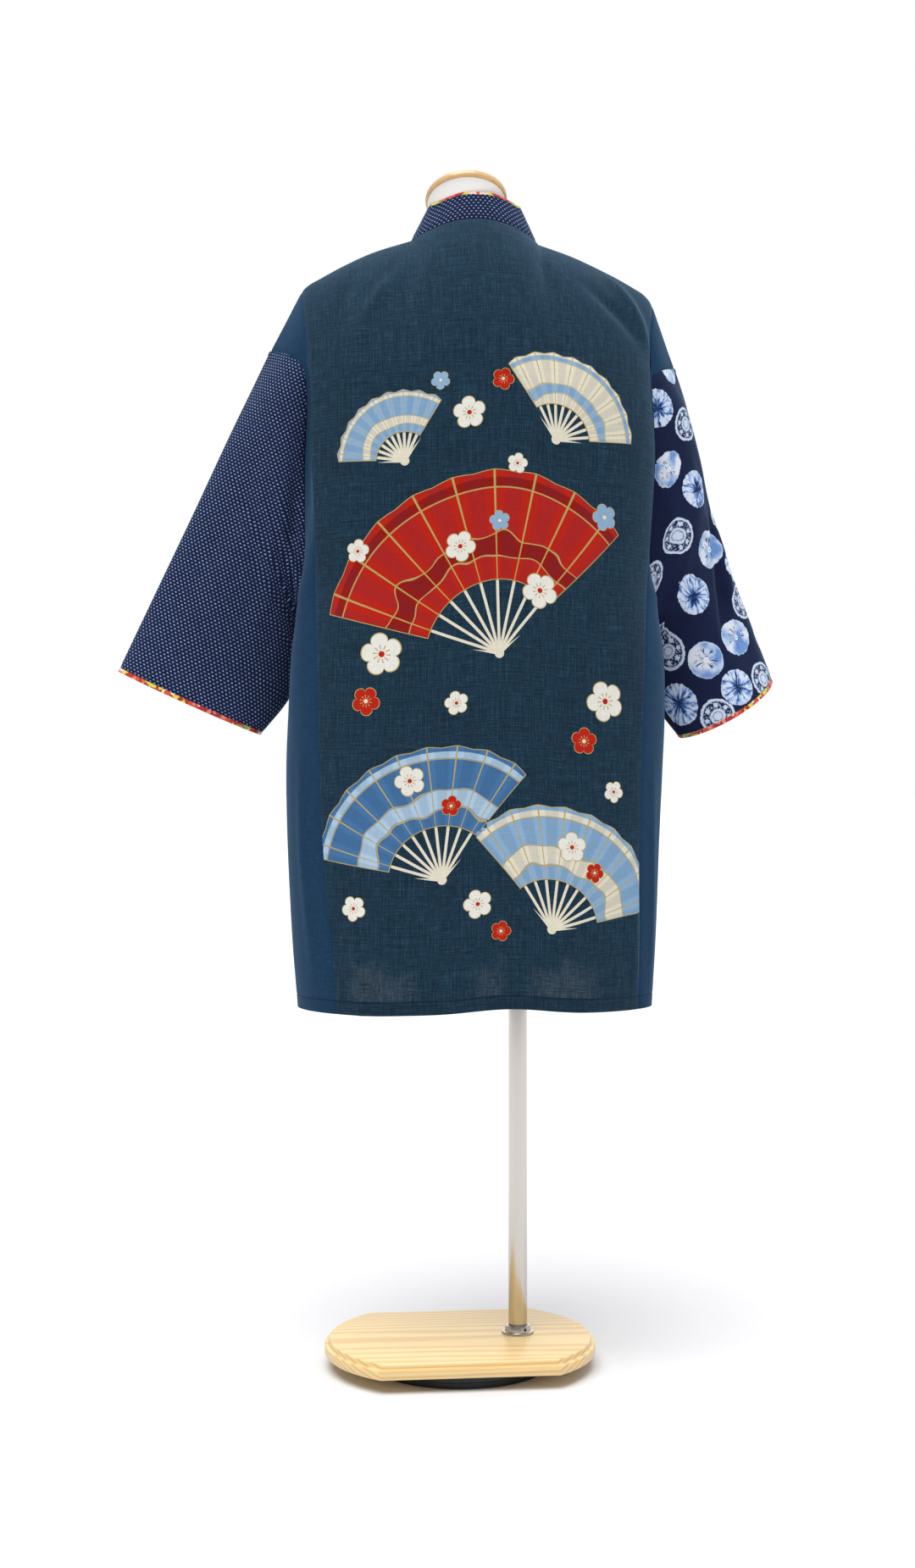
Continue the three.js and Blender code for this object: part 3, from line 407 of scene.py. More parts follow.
def creaseRise(flat, creases):
    # each crease is a soft ridge or trough along a short line on the flat cloth
    rise = np.zeros(flat.shape[:2])
    for crease in creases:
        line = np.array(crease["line"], float)
        lengths = np.linalg.norm(np.diff(line, axis=0), axis=1)
        total = lengths.sum()
        nearest = np.full(flat.shape[:2], 1e9)
        place = np.zeros(flat.shape[:2])
        done = 0.0
        for start, end, length in zip(line[:-1], line[1:], lengths):
            way = (end - start) / length
            off = flat - start
            share = np.clip(off @ way, 0, length)
            gap = np.linalg.norm(off - share[..., None] * way, axis=-1)
            place = np.where(gap < nearest, (done + share) / total, place)
            nearest = np.minimum(nearest, gap)
            done += length
        fade = creaseEnds["start"] + (1 - 2 * creaseEnds["start"]) * place
        fade = np.sin(math.pi * np.clip(fade, 0, 1)) ** creaseEnds["power"]
        rise += crease["rise"] * fade * np.exp(-(nearest / crease["width"]) ** 2)
    return rise


def seamRoll(grid, edges):
    # a sewn edge rolls in over its last few millimetres
    across = lengthsAlong(grid, 0)
    along = lengthsAlong(grid, 1)
    dip = np.zeros(grid.shape[:2])
    gaps = {
        "first": across, "last": across[-1:] - across, "bottom": along, "top": along[:, -1:] - along,
    }
    for edge in edges:
        dip += cloth["seamDip"] * np.exp(-(gaps[edge] / cloth["seamRoll"]) ** 2)
    return dip


def makeCloth(name, grid, flat):
    # a grid primitive whose points are moved to their places and given the flat cloth's map
    columns, rows = grid.shape[0] - 1, grid.shape[1] - 1
    bpy.ops.mesh.primitive_grid_add(x_subdivisions=columns, y_subdivisions=rows, size=2)
    piece = bpy.context.object
    piece.name = name
    mesh = piece.data
    mesh.name = name
    square = np.empty(len(mesh.vertices) * 3)
    mesh.vertices.foreach_get("co", square)
    place = np.rint((square.reshape(-1, 3)[:, :2] + 1) / 2 * (columns, rows)).astype(int)
    points = grid[place[:, 0], place[:, 1]] + (coat["centreX"], 0, 0)
    mesh.vertices.foreach_set("co", (points * mm).ravel())
    corners = np.empty(len(mesh.loops), int)
    mesh.loops.foreach_get("vertex_index", corners)
    flatMap = mesh.uv_layers[0]
    flatMap.name = "flatCloth"
    flatMap.data.foreach_set("uv", flat[place[corners, 0], place[corners, 1]].ravel())
    mesh.update()
    return piece


def finishCloth(piece, inside, wall, closes):
    # joins a tube's two edges, turns the faces out and gives the cloth its thickness
    mesh = piece.data
    centres = np.array([face.center for face in mesh.polygons])
    normals = np.array([face.normal for face in mesh.polygons])
    turned = np.sum(normals * (centres - inside * mm)) < 0
    bpy.ops.object.select_all(action="DESELECT")
    piece.select_set(True)
    bpy.context.view_layer.objects.active = piece
    bpy.ops.object.mode_set(mode="EDIT")
    bpy.ops.mesh.select_all(action="SELECT")
    if closes:
        bpy.ops.mesh.remove_doubles(threshold=cloth["weld"])
    if turned:
        bpy.ops.mesh.flip_normals()
    bpy.ops.object.mode_set(mode="OBJECT")
    shell = piece.modifiers.new("thickness", "SOLIDIFY")
    shell.thickness = wall * mm
    shell.offset = -1
    shell.use_even_offset = False
    bpy.ops.object.modifier_apply(modifier=shell.name)
    bpy.ops.object.shade_smooth_by_angle(angle=math.radians(cloth["smoothAngle"]))
    piece.select_set(False)


def flatBody(grid, middle=0):
    # millimetres across from the middle column, and up from the first row;
    # each column is one thread, so across is how far apart the columns lie
    thread = np.gradient(grid, axis=1)
    thread /= np.maximum(np.linalg.norm(thread, axis=-1, keepdims=True), 1e-9)
    thread = (thread[1:] + thread[:-1]) / 2
    step = np.diff(grid, axis=0)
    apart = np.linalg.norm(step - np.sum(step * thread, axis=-1, keepdims=True) * thread, axis=-1)
    across = np.cumsum(np.concatenate([np.zeros_like(apart[:1]), apart]), axis=0)
    return np.stack([across - across[middle:middle + 1], lengthsAlong(grid, 1)], axis=-1)


def alongRows(flatColumn, spread=4):
    # the way that a flat column runs, evened out over its neighbours
    way = np.gradient(flatColumn, axis=0)
    padded = np.pad(way, ((spread, spread), (0, 0)), mode="edge")
    way = sum(padded[i:i + len(way)] for i in range(2 * spread + 1))
    return way / np.linalg.norm(way, axis=-1, keepdims=True)


def unrolledFlat(grid, middle):
    # the cloth laid flat column by column from the top fold, every step as long as on the coat
    flat = np.zeros(grid.shape[:2] + (2,))
    run = lengthsAlong(grid, 1)[middle]
    flat[middle, :, 1] = run - run[-1]
    for way in (1, -1):
        for i in range(middle, len(grid) - 1 if way > 0 else 0, way):
            thread = np.gradient(grid[i], axis=0)
            thread /= np.linalg.norm(thread, axis=-1, keepdims=True)
            step = grid[i + way] - grid[i]
            along = np.sum(step * thread, axis=-1, keepdims=True)
            apart = np.sqrt(np.maximum(np.sum(step ** 2, axis=-1, keepdims=True) - along ** 2, 0))
            rows = alongRows(flat[i])
            sideways = np.stack([rows[:, 1], -rows[:, 0]], axis=-1) * way
            flat[i + way] = flat[i] + along * rows + apart * sideways
    return flat


def sewPiece(node, grid, creases=(), edges=("first", "last", "top"), wall=cloth["wall"],
             middle=0, inside=cloth["middle"], closes=False, hem=True, halves=None):
    # one piece of cloth; halves are the two nodes of a sleeve, which is laid flat by unrolling
    flat = unrolledFlat(grid, middle) if halves else flatBody(grid, middle)
    inside = np.array(inside, float)
    rise = creaseRise(flat, creases) - seamRoll(grid, edges)
    if hem:
        fromStitch = (flat[..., 1] - cloth["hemStitch"]) / cloth["stitchWidth"]
        rise -= cloth["hemDip"] * np.exp(-fromStitch ** 2)
    piece = makeCloth(node + "_cloth", grid + outwardNormals(grid, inside) * rise[..., None], flat)
    finishCloth(piece, inside + (coat["centreX"], 0, 0), wall, closes)
    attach(piece, "root")
    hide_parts(*(halves or [node]))
    print(piece.name, "is sewn:", len(piece.data.polygons), "faces")
    return piece


# creases lie on the flat cloth: points in mm, how far they rise, how wide they are
backCreases = [
    {"line": [(168, 872), (194, 815), (214, 770)], "rise": 5.6, "width": 9},
    {"line": [(128, 846), (168, 806), (198, 772)], "rise": -5.0, "width": 10},
    {"line": [(-100, 852), (-126, 808), (-146, 768)], "rise": 5.0, "width": 9},
    {"line": [(-158, 862), (-168, 806), (-166, 750)], "rise": -4.4, "width": 11},
    {"line": [(-8, 860), (-12, 731), (-14, 598), (-15, 440)], "rise": -1.3, "width": 5},
    {"line": [(108, 398), (127, 342), (146, 286)], "rise": 1.5, "width": 5},
    {"line": [(174, 190), (183, 100), (187, 22)], "rise": 3.4, "width": 8},
    {"line": [(-23, 758), (-51, 746), (-80, 728), (-107, 705)], "rise": 2.0, "width": 3.2},
    {"line": [(10, 726), (33, 717), (66, 698)], "rise": 1.9, "width": 3.2},
    {"line": [(-123, 481), (-71, 479), (-14, 471)], "rise": -0.5, "width": 2.4},
    {"line": [(40, 470), (96, 476), (150, 468)], "rise": -0.5, "width": 2.4},
    {"line": [(-32, 190), (-32, 101), (-30, 16)], "rise": -1.6, "width": 7},
    {"line": [(-150, 120), (-146, 60), (-140, -10)], "rise": 3.5, "width": 7},
    {"line": [(-60, 880), (-74, 812), (-78, 740)], "rise": 2.6, "width": 11},
    {"line": [(70, 880), (86, 800), (92, 700)], "rise": -2.6, "width": 12},
]
frontCreases = [
    {"line": [(64, 900), (58, 700), (70, 420)], "rise": 3.2, "width": 13},
    {"line": [(120, 860), (112, 640), (128, 330)], "rise": -3.4, "width": 15},
    {"line": [(208, 520), (160, 600), (110, 740)], "rise": 3.0, "width": 9},
    {"line": [(190, 480), (140, 540), (80, 640)], "rise": -2.4, "width": 9},
    {"line": [(170, 300), (176, 160), (180, 8)], "rise": 3.6, "width": 13},
    {"line": [(20, 333), (70, 330), (120, 336)], "rise": -0.5, "width": 2.4},
]
stripCreases = {
    -1: [{"line": [(4, 457), (56, 452)], "rise": 1.0, "width": 2.2},
         {"line": [(2, 330), (60, 322)], "rise": 0.9, "width": 2.4},
         {"line": [(30, 300), (36, 180), (34, 40)], "rise": 2.6, "width": 8}],
    1: [{"line": [(6, 400), (50, 392)], "rise": 0.9, "width": 2.4},
        {"line": [(26, 280), (32, 150), (30, 20)], "rise": 2.6, "width": 8}],
}
# the sleeves' creases run across from the top fold and up from the cuff
sleeveCreases = {
    -1: [{"line": [(106, -272), (118, -236), (127, -206), (134, -190)], "rise": -4.8, "width": 6},
         {"line": [(92, -290), (100, -230), (108, -186), (128, -140), (130, -90)], "rise": 2.6,
          "width": 9},
         {"line": [(62, -298), (48, -178), (30, -78)], "rise": -2.2, "width": 15},
         {"line": [(149, -62), (95, -88), (39, -140)], "rise": 1.8, "width": 12},
         {"line": [(-54, -299), (-79, -178), (-69, -51)], "rise": -3, "width": 14}],
    1: [{"line": [(19, -215), (29, -175), (38, -145), (48, -117), (71, -76)], "rise": -6.2, "width": 5.5},
        {"line": [(6, -205), (16, -170), (25, -140), (36, -108), (58, -70)], "rise": 4.4, "width": 7},
        {"line": [(35, -300), (24, -241), (20, -200)], "rise": -1.8, "width": 9},
        {"line": [(92, -323), (88, -240), (100, -150)], "rise": 1.8, "width": 12},
        {"line": [(-54, -299), (-79, -178), (-69, -51)], "rise": -3, "width": 14}],
}
sides = {-1: "left", 1: "right"}
panel = sewPiece("back_panel", panelGrid, backCreases, middle=panelMiddle)
strips = {
    side: sewPiece(f"back_strip_{word}", stripGrids[side], stripCreases[side])
    for side, word in sides.items()
}
fronts = {
    side: sewPiece(f"front_{word}", frontGrids[side], frontCreases)
    for side, word in sides.items()
}

sleevePieces, cuffPieces = {}, {}
for side, word in sides.items():
    grid, cuff = sleeveGrids[side], cuffGrid(side)
    topFold = (len(grid) - 1) // 2
    sleevePieces[side] = sewPiece(
        f"sleeve_{word}", grid, sleeveCreases[side], edges=("bottom", "top"),
        middle=topFold, inside=grid.mean(axis=(0, 1)), closes=True, hem=False,
        halves=[f"sleeve_{word}_upper", f"sleeve_{word}_lower"])
    cuffPieces[side] = sewPiece(
        f"cuff_piping_{word}", cuff, edges=(), wall=cloth["pipingWall"],
        middle=topFold, inside=cuff.mean(axis=(0, 1)), closes=True, hem=False)

collars, collarPipings = {}, {}
for side, word in sides.items():
    collars[side] = sewPiece(
        f"collar_{word}", collarGrid(side), edges=("bottom",),
        wall=cloth["collarWall"], hem=False)
    collarPipings[side] = sewPiece(
        f"collar_piping_{word}", collarGrid(side, piping=True), edges=(),
        wall=cloth["pipingWall"], hem=False)


hardEdges = {"bevelAngle": 30, "smoothAngle": 35}


def finishHard(piece, node, bevel=0.0, segments=3, angle=hardEdges["bevelAngle"]):
    # applies the place, rounds the edges and rides the piece on the frame
    bpy.ops.object.select_all(action="DESELECT")
    piece.select_set(True)
    bpy.context.view_layer.objects.active = piece
    bpy.ops.object.transform_apply(location=True, rotation=True, scale=True)
    if bevel:
        rounding = piece.modifiers.new("rounding", "BEVEL")
        rounding.width = bevel * mm
        rounding.segments = segments
        rounding.limit_method = "ANGLE"
        rounding.angle_limit = math.radians(angle)
        bpy.ops.object.modifier_apply(modifier=rounding.name)
    bpy.ops.object.mode_set(mode="EDIT")
    bpy.ops.mesh.select_all(action="SELECT")
    bpy.ops.mesh.normals_make_consistent(inside=False)
    bpy.ops.object.mode_set(mode="OBJECT")
    bpy.ops.object.shade_smooth_by_angle(angle=math.radians(hardEdges["smoothAngle"]))
    piece.select_set(False)
    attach(piece, "root")
    if node:
        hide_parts(node)
    print(piece.name, "is made:", len(piece.data.polygons), "faces")
    return piece
form = {"centreX": 11, "neckX": 7.7, "sides": 96, "ringSteps": 5, "inset": 0.8}
neckCap = {"radius": 48, "thickness": 8, "edge": 2.6, "tilt": 25, "centreY": 4, "centreZ": 1367,
           "gap": 0.2, "sides": 96}
tiltSlope = math.tan(math.radians(neckCap["tilt"]))
capDrop = neckCap["thickness"] / 2 / math.cos(math.radians(neckCap["tilt"])) + neckCap["gap"]
# rings from the hip edge up to the neck; slope leans the last one under the cap
formRings = namedColumns("ring z halfWidth halfDepth centreX centreY power slope", [
    (0, 590, 118, 68, 11, 0, 2.2, 0), (1, 598, 140, 88, 11, 0, 2.2, 0), (2, 618, 152, 99, 11, 0, 2.2, 0),
    (3, 690, 157, 105, 11, 0, 2.2, 0), (4, 780, 147, 98, 11, 1, 2.2, 0), (5, 870, 138, 94, 11, 2, 2.2, 0),
    (6, 970, 150, 102, 11, 2, 2.2, 0), (7, 1060, 161, 106, 11, 2, 2.2, 0),
    (8, 1130, 168, 104, 11, 1, 2.2, 0), (9, 1190, 175, 89, 11, 2, 2.1, 0),
    (10, 1232, 180, 72, 11, 4, 1.9, 0), (11, 1256, 174, 57, 11, 5, 1.5, 0),
    (12, 1275, 150, 46, 11, 5, 1.35, 0), (13, 1293, 112, 40, 10, 5, 1.4, 0),
    (14, 1311, 57, 37.5, 7.7, 7, 1.9, 0), (15, 1324, 45.5, 37.5, 7.7, 8, 2, 0),
    (16, 1342, 43, 38.5, 7.7, 9, 2, -0.1),
    (17, neckCap["centreZ"] - capDrop, 46.8, 42, 7.7, neckCap["centreY"], 2, -tiltSlope),
])
lastRing = len(formRings["rows"]) - 1
row = readTable(formRings, np.linspace(0, lastRing, lastRing * form["ringSteps"] + 1))
angles = np.linspace(0, 2 * math.pi, form["sides"] + 1)[:, None]
roundX, roundY = (np.sign(way) * np.abs(way) ** (2 / row["power"][None])
                  for way in (np.cos(angles), np.sin(angles)))
ringY = roundY * (row["halfDepth"] - form["inset"])
ringX = roundX * (row["halfWidth"] - form["inset"])
formGrid = pointsOf(row["centreX"] + ringX, row["centreY"] + ringY, row["z"] + ringY * row["slope"])
formGrid[-1] = formGrid[0]
formCover = makeCloth("form_cover", formGrid - (coat["centreX"], 0, 0), flatBody(formGrid))
bpy.ops.object.mode_set(mode="EDIT")
bpy.ops.mesh.select_all(action="SELECT")
bpy.ops.mesh.remove_doubles(threshold=cloth["weld"])
bpy.ops.mesh.fill_holes(sides=0)
bpy.ops.object.mode_set(mode="OBJECT")
finishHard(formCover, "form_torso")

bpy.ops.mesh.primitive_cylinder_add(
    vertices=neckCap["sides"], radius=neckCap["radius"] * mm, depth=neckCap["thickness"] * mm,
    location=(form["neckX"] * mm, neckCap["centreY"] * mm, neckCap["centreZ"] * mm),
    rotation=(-math.radians(neckCap["tilt"]), 0, 0))
capPiece = bpy.context.object
capPiece.name = "neck_cap_turned"
finishHard(capPiece, "neck_cap", bevel=neckCap["edge"], segments=5)

pole = {"x": 69, "y": 5, "radius": 11, "low": 33.3, "high": 637.7, "sides": 96, "edge": 0.4}
bpy.ops.mesh.primitive_cylinder_add(
    vertices=pole["sides"], radius=pole["radius"] * mm, depth=(pole["high"] - pole["low"]) * mm,
    location=(pole["x"] * mm, pole["y"] * mm, (pole["high"] + pole["low"]) / 2 * mm))
polePiece = bpy.context.object
polePiece.name = "pole_tube"
finishHard(polePiece, "pole", bevel=pole["edge"], segments=2)

# a turned collar: its half section is spun round the pole
flange = {"sides": 96, "profile": [
    (11.3, 0), (19, 0), (19, 1.4), (18.6, 2.1), (17.8, 2.4), (15.6, 2.4), (15.1, 2.8),
    (15, 3.4), (15, 7.9), (14.6, 8.7), (13.8, 9), (11.9, 9), (11.3, 8.5)]}


def spinProfile(name, profile, steps, centre):
    # the half section, out from the centre line and up, as a closed loop that is spun round it
    bpy.ops.mesh.primitive_circle_add(vertices=len(profile), radius=1, fill_type="NOTHING")
    piece = bpy.context.object
    piece.name = name
    for vertex, (out, up) in zip(piece.data.vertices, profile):
        vertex.co = ((centre[0] + out) * mm, centre[1] * mm, (centre[2] + up) * mm)
    bpy.ops.object.mode_set(mode="EDIT")
    bpy.ops.mesh.select_all(action="SELECT")
    bpy.ops.mesh.spin(steps=steps, angle=2 * math.pi, center=[c * mm for c in centre], axis=(0, 0, 1))
    bpy.ops.mesh.select_all(action="SELECT")
    bpy.ops.mesh.remove_doubles(threshold=cloth["weld"] / 2)
    bpy.ops.object.mode_set(mode="OBJECT")
    return piece


flangePiece = spinProfile("pole_flange_turned", flange["profile"], flange["sides"],
                          (pole["x"], pole["y"], pole["low"]))
finishHard(flangePiece, "pole_flange")

# a small grub screw in the flange's side holds it to the pole
screw = {"radius": 1.9, "depth": 1.2, "turn": -62, "out": 14.55, "up": 5.6, "sides": 24, "edge": 0.25}
turn = math.radians(screw["turn"])
bpy.ops.mesh.primitive_cylinder_add(
    vertices=screw["sides"], radius=screw["radius"] * mm, depth=screw["depth"] * mm,
    location=((pole["x"] + screw["out"] * math.cos(turn)) * mm,
              (pole["y"] + screw["out"] * math.sin(turn)) * mm,
              (pole["low"] + screw["up"]) * mm),
    rotation=(0, math.radians(90), turn))
screwPiece = bpy.context.object
screwPiece.name = "flange_grub_screw"
finishHard(screwPiece, None, bevel=screw["edge"], segments=2)

board = {"length": 317, "width": 234, "straight": 203, "thickness": 17, "step": 5, "stepHeight": 6,
         "z": 16, "arcSteps": 36, "edge": 1.6, "bevelAngle": 40}


def boardOutline(inset):
    # two round ends joined by straight sides; inset draws the ends in
    halfWidth = board["width"] / 2
    sagitta = board["length"] / 2 - board["straight"] / 2
    radius = (halfWidth ** 2 + sagitta ** 2) / (2 * sagitta)
    middle = board["length"] / 2 - radius
    swing = math.asin(halfWidth / radius)
    outline = []
    for end in (0, math.pi):
        for angle in np.linspace(end - swing, end + swing, board["arcSteps"] + 1):
            reach = radius - inset
            y = min(max(reach * math.sin(angle), -halfWidth), halfWidth)
            outline.append(((middle if end == 0 else -middle) + reach * math.cos(angle), y))
    return outline


lowOutline, highOutline = boardOutline(0), boardOutline(board["step"])
bpy.ops.mesh.primitive_circle_add(vertices=len(lowOutline), radius=1, fill_type="NGON")
boardPiece = bpy.context.object
boardPiece.name = "base_board_planed"
for vertex, (x, y) in zip(boardPiece.data.vertices, lowOutline):
    vertex.co = (x * mm, y * mm, board["z"] * mm)
bpy.ops.object.mode_set(mode="EDIT")
bpy.ops.mesh.select_all(action="SELECT")
for rise in (board["thickness"] - board["stepHeight"], 0, board["stepHeight"]):
    bpy.ops.mesh.extrude_region_move(TRANSFORM_OT_translate={"value": (0, 0, rise * mm)})
    if rise == 0:  # the routed step: the face drawn in at the round ends
        bpy.ops.object.mode_set(mode="OBJECT")
        lifted = [v for v in boardPiece.data.vertices if v.select]
        for vertex in lifted:
            gaps = [math.hypot(x * mm - vertex.co.x, y * mm - vertex.co.y) for x, y in lowOutline]
            x, y = highOutline[gaps.index(min(gaps))]
            vertex.co.x, vertex.co.y = x * mm, y * mm
        bpy.ops.object.mode_set(mode="EDIT")
bpy.ops.mesh.select_all(action="SELECT")
bpy.ops.mesh.remove_doubles(threshold=0.05 * mm)
bpy.ops.object.mode_set(mode="OBJECT")
finishHard(boardPiece, "base_board", bevel=board["edge"], segments=3,
           angle=board["bevelAngle"])

# the round foot: radius, underside and height of its pad and of the disc on it
feet = {"foot_pad": (104, 0, 8), "foot_disc": (108, 8.3, 7.4)}
footMade = {"sides": 128, "edge": 1.3}
footPieces = []
for node, (radius, low, height) in feet.items():
    bpy.ops.mesh.primitive_cylinder_add(
        vertices=footMade["sides"], radius=radius * mm, depth=height * mm,
        location=(0, 0, (low + height / 2) * mm))
    footPiece = bpy.context.object
    footPiece.name = node + "_moulded"
    footPieces.append(finishHard(footPiece, node, bevel=footMade["edge"], segments=4))


def addNode(tree, kind, inputs=None, out=0, **settings):
    # adds a shader node with its settings, its values and links, and gives one output
    node = tree.nodes.new("ShaderNode" + kind)
    for name, value in settings.items():
        setattr(node, name, value)
    for key, value in (inputs or {}).items():
        if isinstance(value, bpy.types.NodeSocket):
            tree.links.new(value, node.inputs[key])
        else:
            node.inputs[key].default_value = value
    return node.outputs[out]


def newMaterial(name, **shaderValues):
    material = bpy.data.materials.new(name)
    material.use_nodes = True
    shader = material.node_tree.nodes["Principled BSDF"]
    for socket, value in shaderValues.items():
        shader.inputs[socket.replace("_", " ")].default_value = value
    return material, material.node_tree, shader


falling = {"To Min": 1.0, "To Max": 0.0}  # for a MapRange that runs from 1 down to 0


def setRamp(socket, stops, interpolation="LINEAR"):
    # fills a colour ramp, given by its output, with (place, hex) stops
    ramp = socket.node.color_ramp
    ramp.interpolation = interpolation
    while len(ramp.elements) < len(stops):
        ramp.elements.new(0.5)
    for element, (place, hexCode) in zip(ramp.elements, stops):
        element.position = place
        element.color = inkColour(hexCode)


def wearMaterial(material, *pieces):
    for piece in pieces:
        piece.data.materials.clear()
        piece.data.materials.append(material)


def threadTone(tree, flat, width, length):
    # streaks of thicker and thinner yarn, along and across the cloth; sizes in mm
    down = addNode(tree, "Mapping", {"Vector": flat, "Scale": (1 / width, 1 / length, 1)})
    over = addNode(tree, "Mapping", {"Vector": flat, "Scale": (1 / length, 1 / width, 1),
                                     "Location": (31, 17, 0)})
    warp = addNode(tree, "TexNoise", {"Vector": down, "Scale": 1.0, "Detail": 3.0, "Roughness": 0.6})
    weft = addNode(tree, "TexNoise", {"Vector": over, "Scale": 1.0, "Detail": 3.0, "Roughness": 0.6})
    both = addNode(tree, "Math", {0: warp, 1: weft}, operation="ADD")
    return addNode(tree, "Math", {0: both, 1: 0.5}, operation="MULTIPLY")


# Motifs are drawn in their own flat places: each face of the cloth takes the motif that it
# lies nearest to, as two more maps, so that edges stay sharp at any size.

def cornerValues(piece, layerName):
    layer = piece.data.uv_layers[layerName]
    values = np.empty(len(layer.data) * 2)
    layer.data.foreach_get("uv", values)
    return values.reshape(-1, 2)


def faceOfCorners(piece):
    totals = np.empty(len(piece.data.polygons), int)
    piece.data.polygons.foreach_get("loop_total", totals)
    return np.repeat(np.arange(len(totals)), totals)


def motifMaps(piece, name, motifs, gapTo, kept):
    # adds the maps <name>Place, mm from the nearest motif's middle, and <name>Form, two numbers of it
    flat = cornerValues(piece, "flatCloth")
    faces = faceOfCorners(piece)
    counts = np.bincount(faces)
    centre = np.stack([np.bincount(faces, flat[:, i]) / counts for i in (0, 1)], axis=-1)
    turn = np.radians(motifs["turn"])
    off = centre[:, None] - np.stack([motifs["u"], motifs["v"]], axis=-1)[None]
    x = off[..., 0] * np.cos(turn) + off[..., 1] * np.sin(turn)
    y = off[..., 1] * np.cos(turn) - off[..., 0] * np.sin(turn)
    nearest = np.argmin(gapTo(x, y, motifs), axis=1)[faces]
    turn = turn[nearest]
    off = flat - np.stack([motifs["u"][nearest], motifs["v"][nearest]], axis=-1)
    place = np.stack([off[:, 0] * np.cos(turn) + off[:, 1] * np.sin(turn),
                      off[:, 1] * np.cos(turn) - off[:, 0] * np.sin(turn)], axis=-1)
    values = np.stack([motifs[key][nearest] for key in kept], axis=-1)
    for layerName, data in ((name + "Place", place), (name + "Form", values)):
        layer = piece.data.uv_layers.new(name=layerName)
        layer.data.foreach_set("uv", data.ravel())
    piece.data.uv_layers["flatCloth"].active = True


def motifTable(names, rows):
    table = namedColumns(names, rows)
    return {name: table["rows"][:, i] for i, name in enumerate(table["names"])}


# folding fans: radius in mm, kind 0 red, 1 blue, 2 ivory, 3 pale blue; turned to the left by turn
fans = motifTable("u v turn radius kind", [
    (14, 398, 15, 206, 0), (-50, 150, 20, 150, 1), (74, 92, -20, 140, 3), (78, 640, -26, 100, 2),
    (-92, 618, 28, 80, 3),
])
# degrees to each side, share of the radius where the leaf starts, pleats; lines and sticks in mm
fanCut = {"half": 60, "inner": 0.4, "pleats": 18, "pleatDepth": 2.6, "line": 0.75, "stick": 1.5,
          "bands": ((0.58, 0.055, 0.006), (0.93, 0.022, 0.004))}

# plum blossoms: radius in mm, kind 0 red, 1 ivory, 2 pale blue
blossoms = motifTable("u v turn radius kind", [
    (-118, 404, 10, 25, 1), (-136, 352, 40, 17, 0), (138, 352, 25, 24, 1), (112, 306, 70, 16, 0),
    (-20, 668, 5, 19, 1), (18, 704, 50, 13, 0), (-52, 706, 33, 11, 2), (34, 610, 60, 12, 1),
    (138, 560, 20, 16, 2), (-146, 520, 64, 14, 1), (-10, 120, 18, 17, 1), (16, 88, 55, 12, 0),
    (-150, 120, 30, 15, 1), (150, 250, 42, 13, 1), (-34, 346, 12, 14, 1), (60, 470, 31, 21, 1),
    (-30, 520, 47, 18, 1), (14, 546, 8, 12, 2), (-86, 262, 22, 18, 1), (-40, 232, 61, 12, 0),
    (98, 186, 3, 18, 1), (126, 158, 44, 12, 0),
])


def fanGap(x, y, fan):
    reach, angle = np.hypot(x, y), np.abs(np.arctan2(x, y))
    past = np.maximum(angle - math.radians(fanCut["half"]), 0)
    beside = np.minimum(reach, fan["radius"]) * np.sin(np.minimum(past, math.pi / 2))
    return np.maximum(reach - fan["radius"], 0) + beside


def discGap(x, y, disc):
    return np.hypot(x, y) - disc["radius"]


motifMaps(panel, "fan", fans, fanGap, ("radius", "kind"))
motifMaps(panel, "blossom", blossoms, discGap, ("radius", "kind"))

# tied roundels on the right sleeve; kind 0 spoked, 1 pale, 2 ringed
roundelRadius = 22
roundelRows = [
    (22, -402, 1), (71, -366, 0), (36, -330, 2), (83, -293, 1), (46, -252, 0), (88, -206, 2),
    (39, -180, 1), (-8, -208, 2), (4, -148, 0), (84, -140, 0), (134, -176, 2), (16, -102, 2),
    (52, -70, 1), (141, -94, 2), (104, -66, 1), (86, -20, 0), (42, -8, 2), (158, -38, 0),
    (126, -4, 2), (-4, -50, 1),
]
# the rest of the sleeve is filled from a staggered lattice that wanders a little
lattice = {"stepU": 58, "stepV": 50, "jitter": 7, "clear": 54, "rows": 9, "columns": 5, "lowest": -18}
for row in range(lattice["rows"]):
    for column in range(-lattice["columns"], lattice["columns"] + 1):
        wander = math.sin(row * 12.9 + column * 78.2) * lattice["jitter"]
        u = (column + 0.5 * (row % 2)) * lattice["stepU"] + wander
        v = lattice["lowest"] - row * lattice["stepV"] + wander * 0.6
        if min(math.hypot(u - r[0], v - r[1]) for r in roundelRows) > lattice["clear"]:
            roundelRows.append((u, v, (row + column * 2) % 3))
roundels = motifTable("u v kind turn radius seed", [
    (u, v, kind, i * 37 % 360, roundelRadius, i * 0.37) for i, (u, v, kind) in enumerate(roundelRows)])
motifMaps(sleevePieces[1], "roundel", roundels, discGap, ("kind", "seed"))
print("motifs are laid out:", len(roundelRows), "roundels,", len(fans["u"]), "fans")


# every yarn-dyed or printed cotton here is matt; gloss comes only from its fuzz at a slant
cottonFuzz = {"Roughness": 0.95, "Sheen_Weight": 0.22, "Sheen_Roughness": 0.45}


def newCotton(name):
    material, tree, shader = newMaterial(name, **cottonFuzz)
    shader.inputs["Specular IOR Level"].default_value = 0.1
    shader.inputs["Sheen Tint"].default_value = inkColour("#8FB4D6")
    return material, tree, shader, addNode(tree, "UVMap", uv_map="flatCloth")


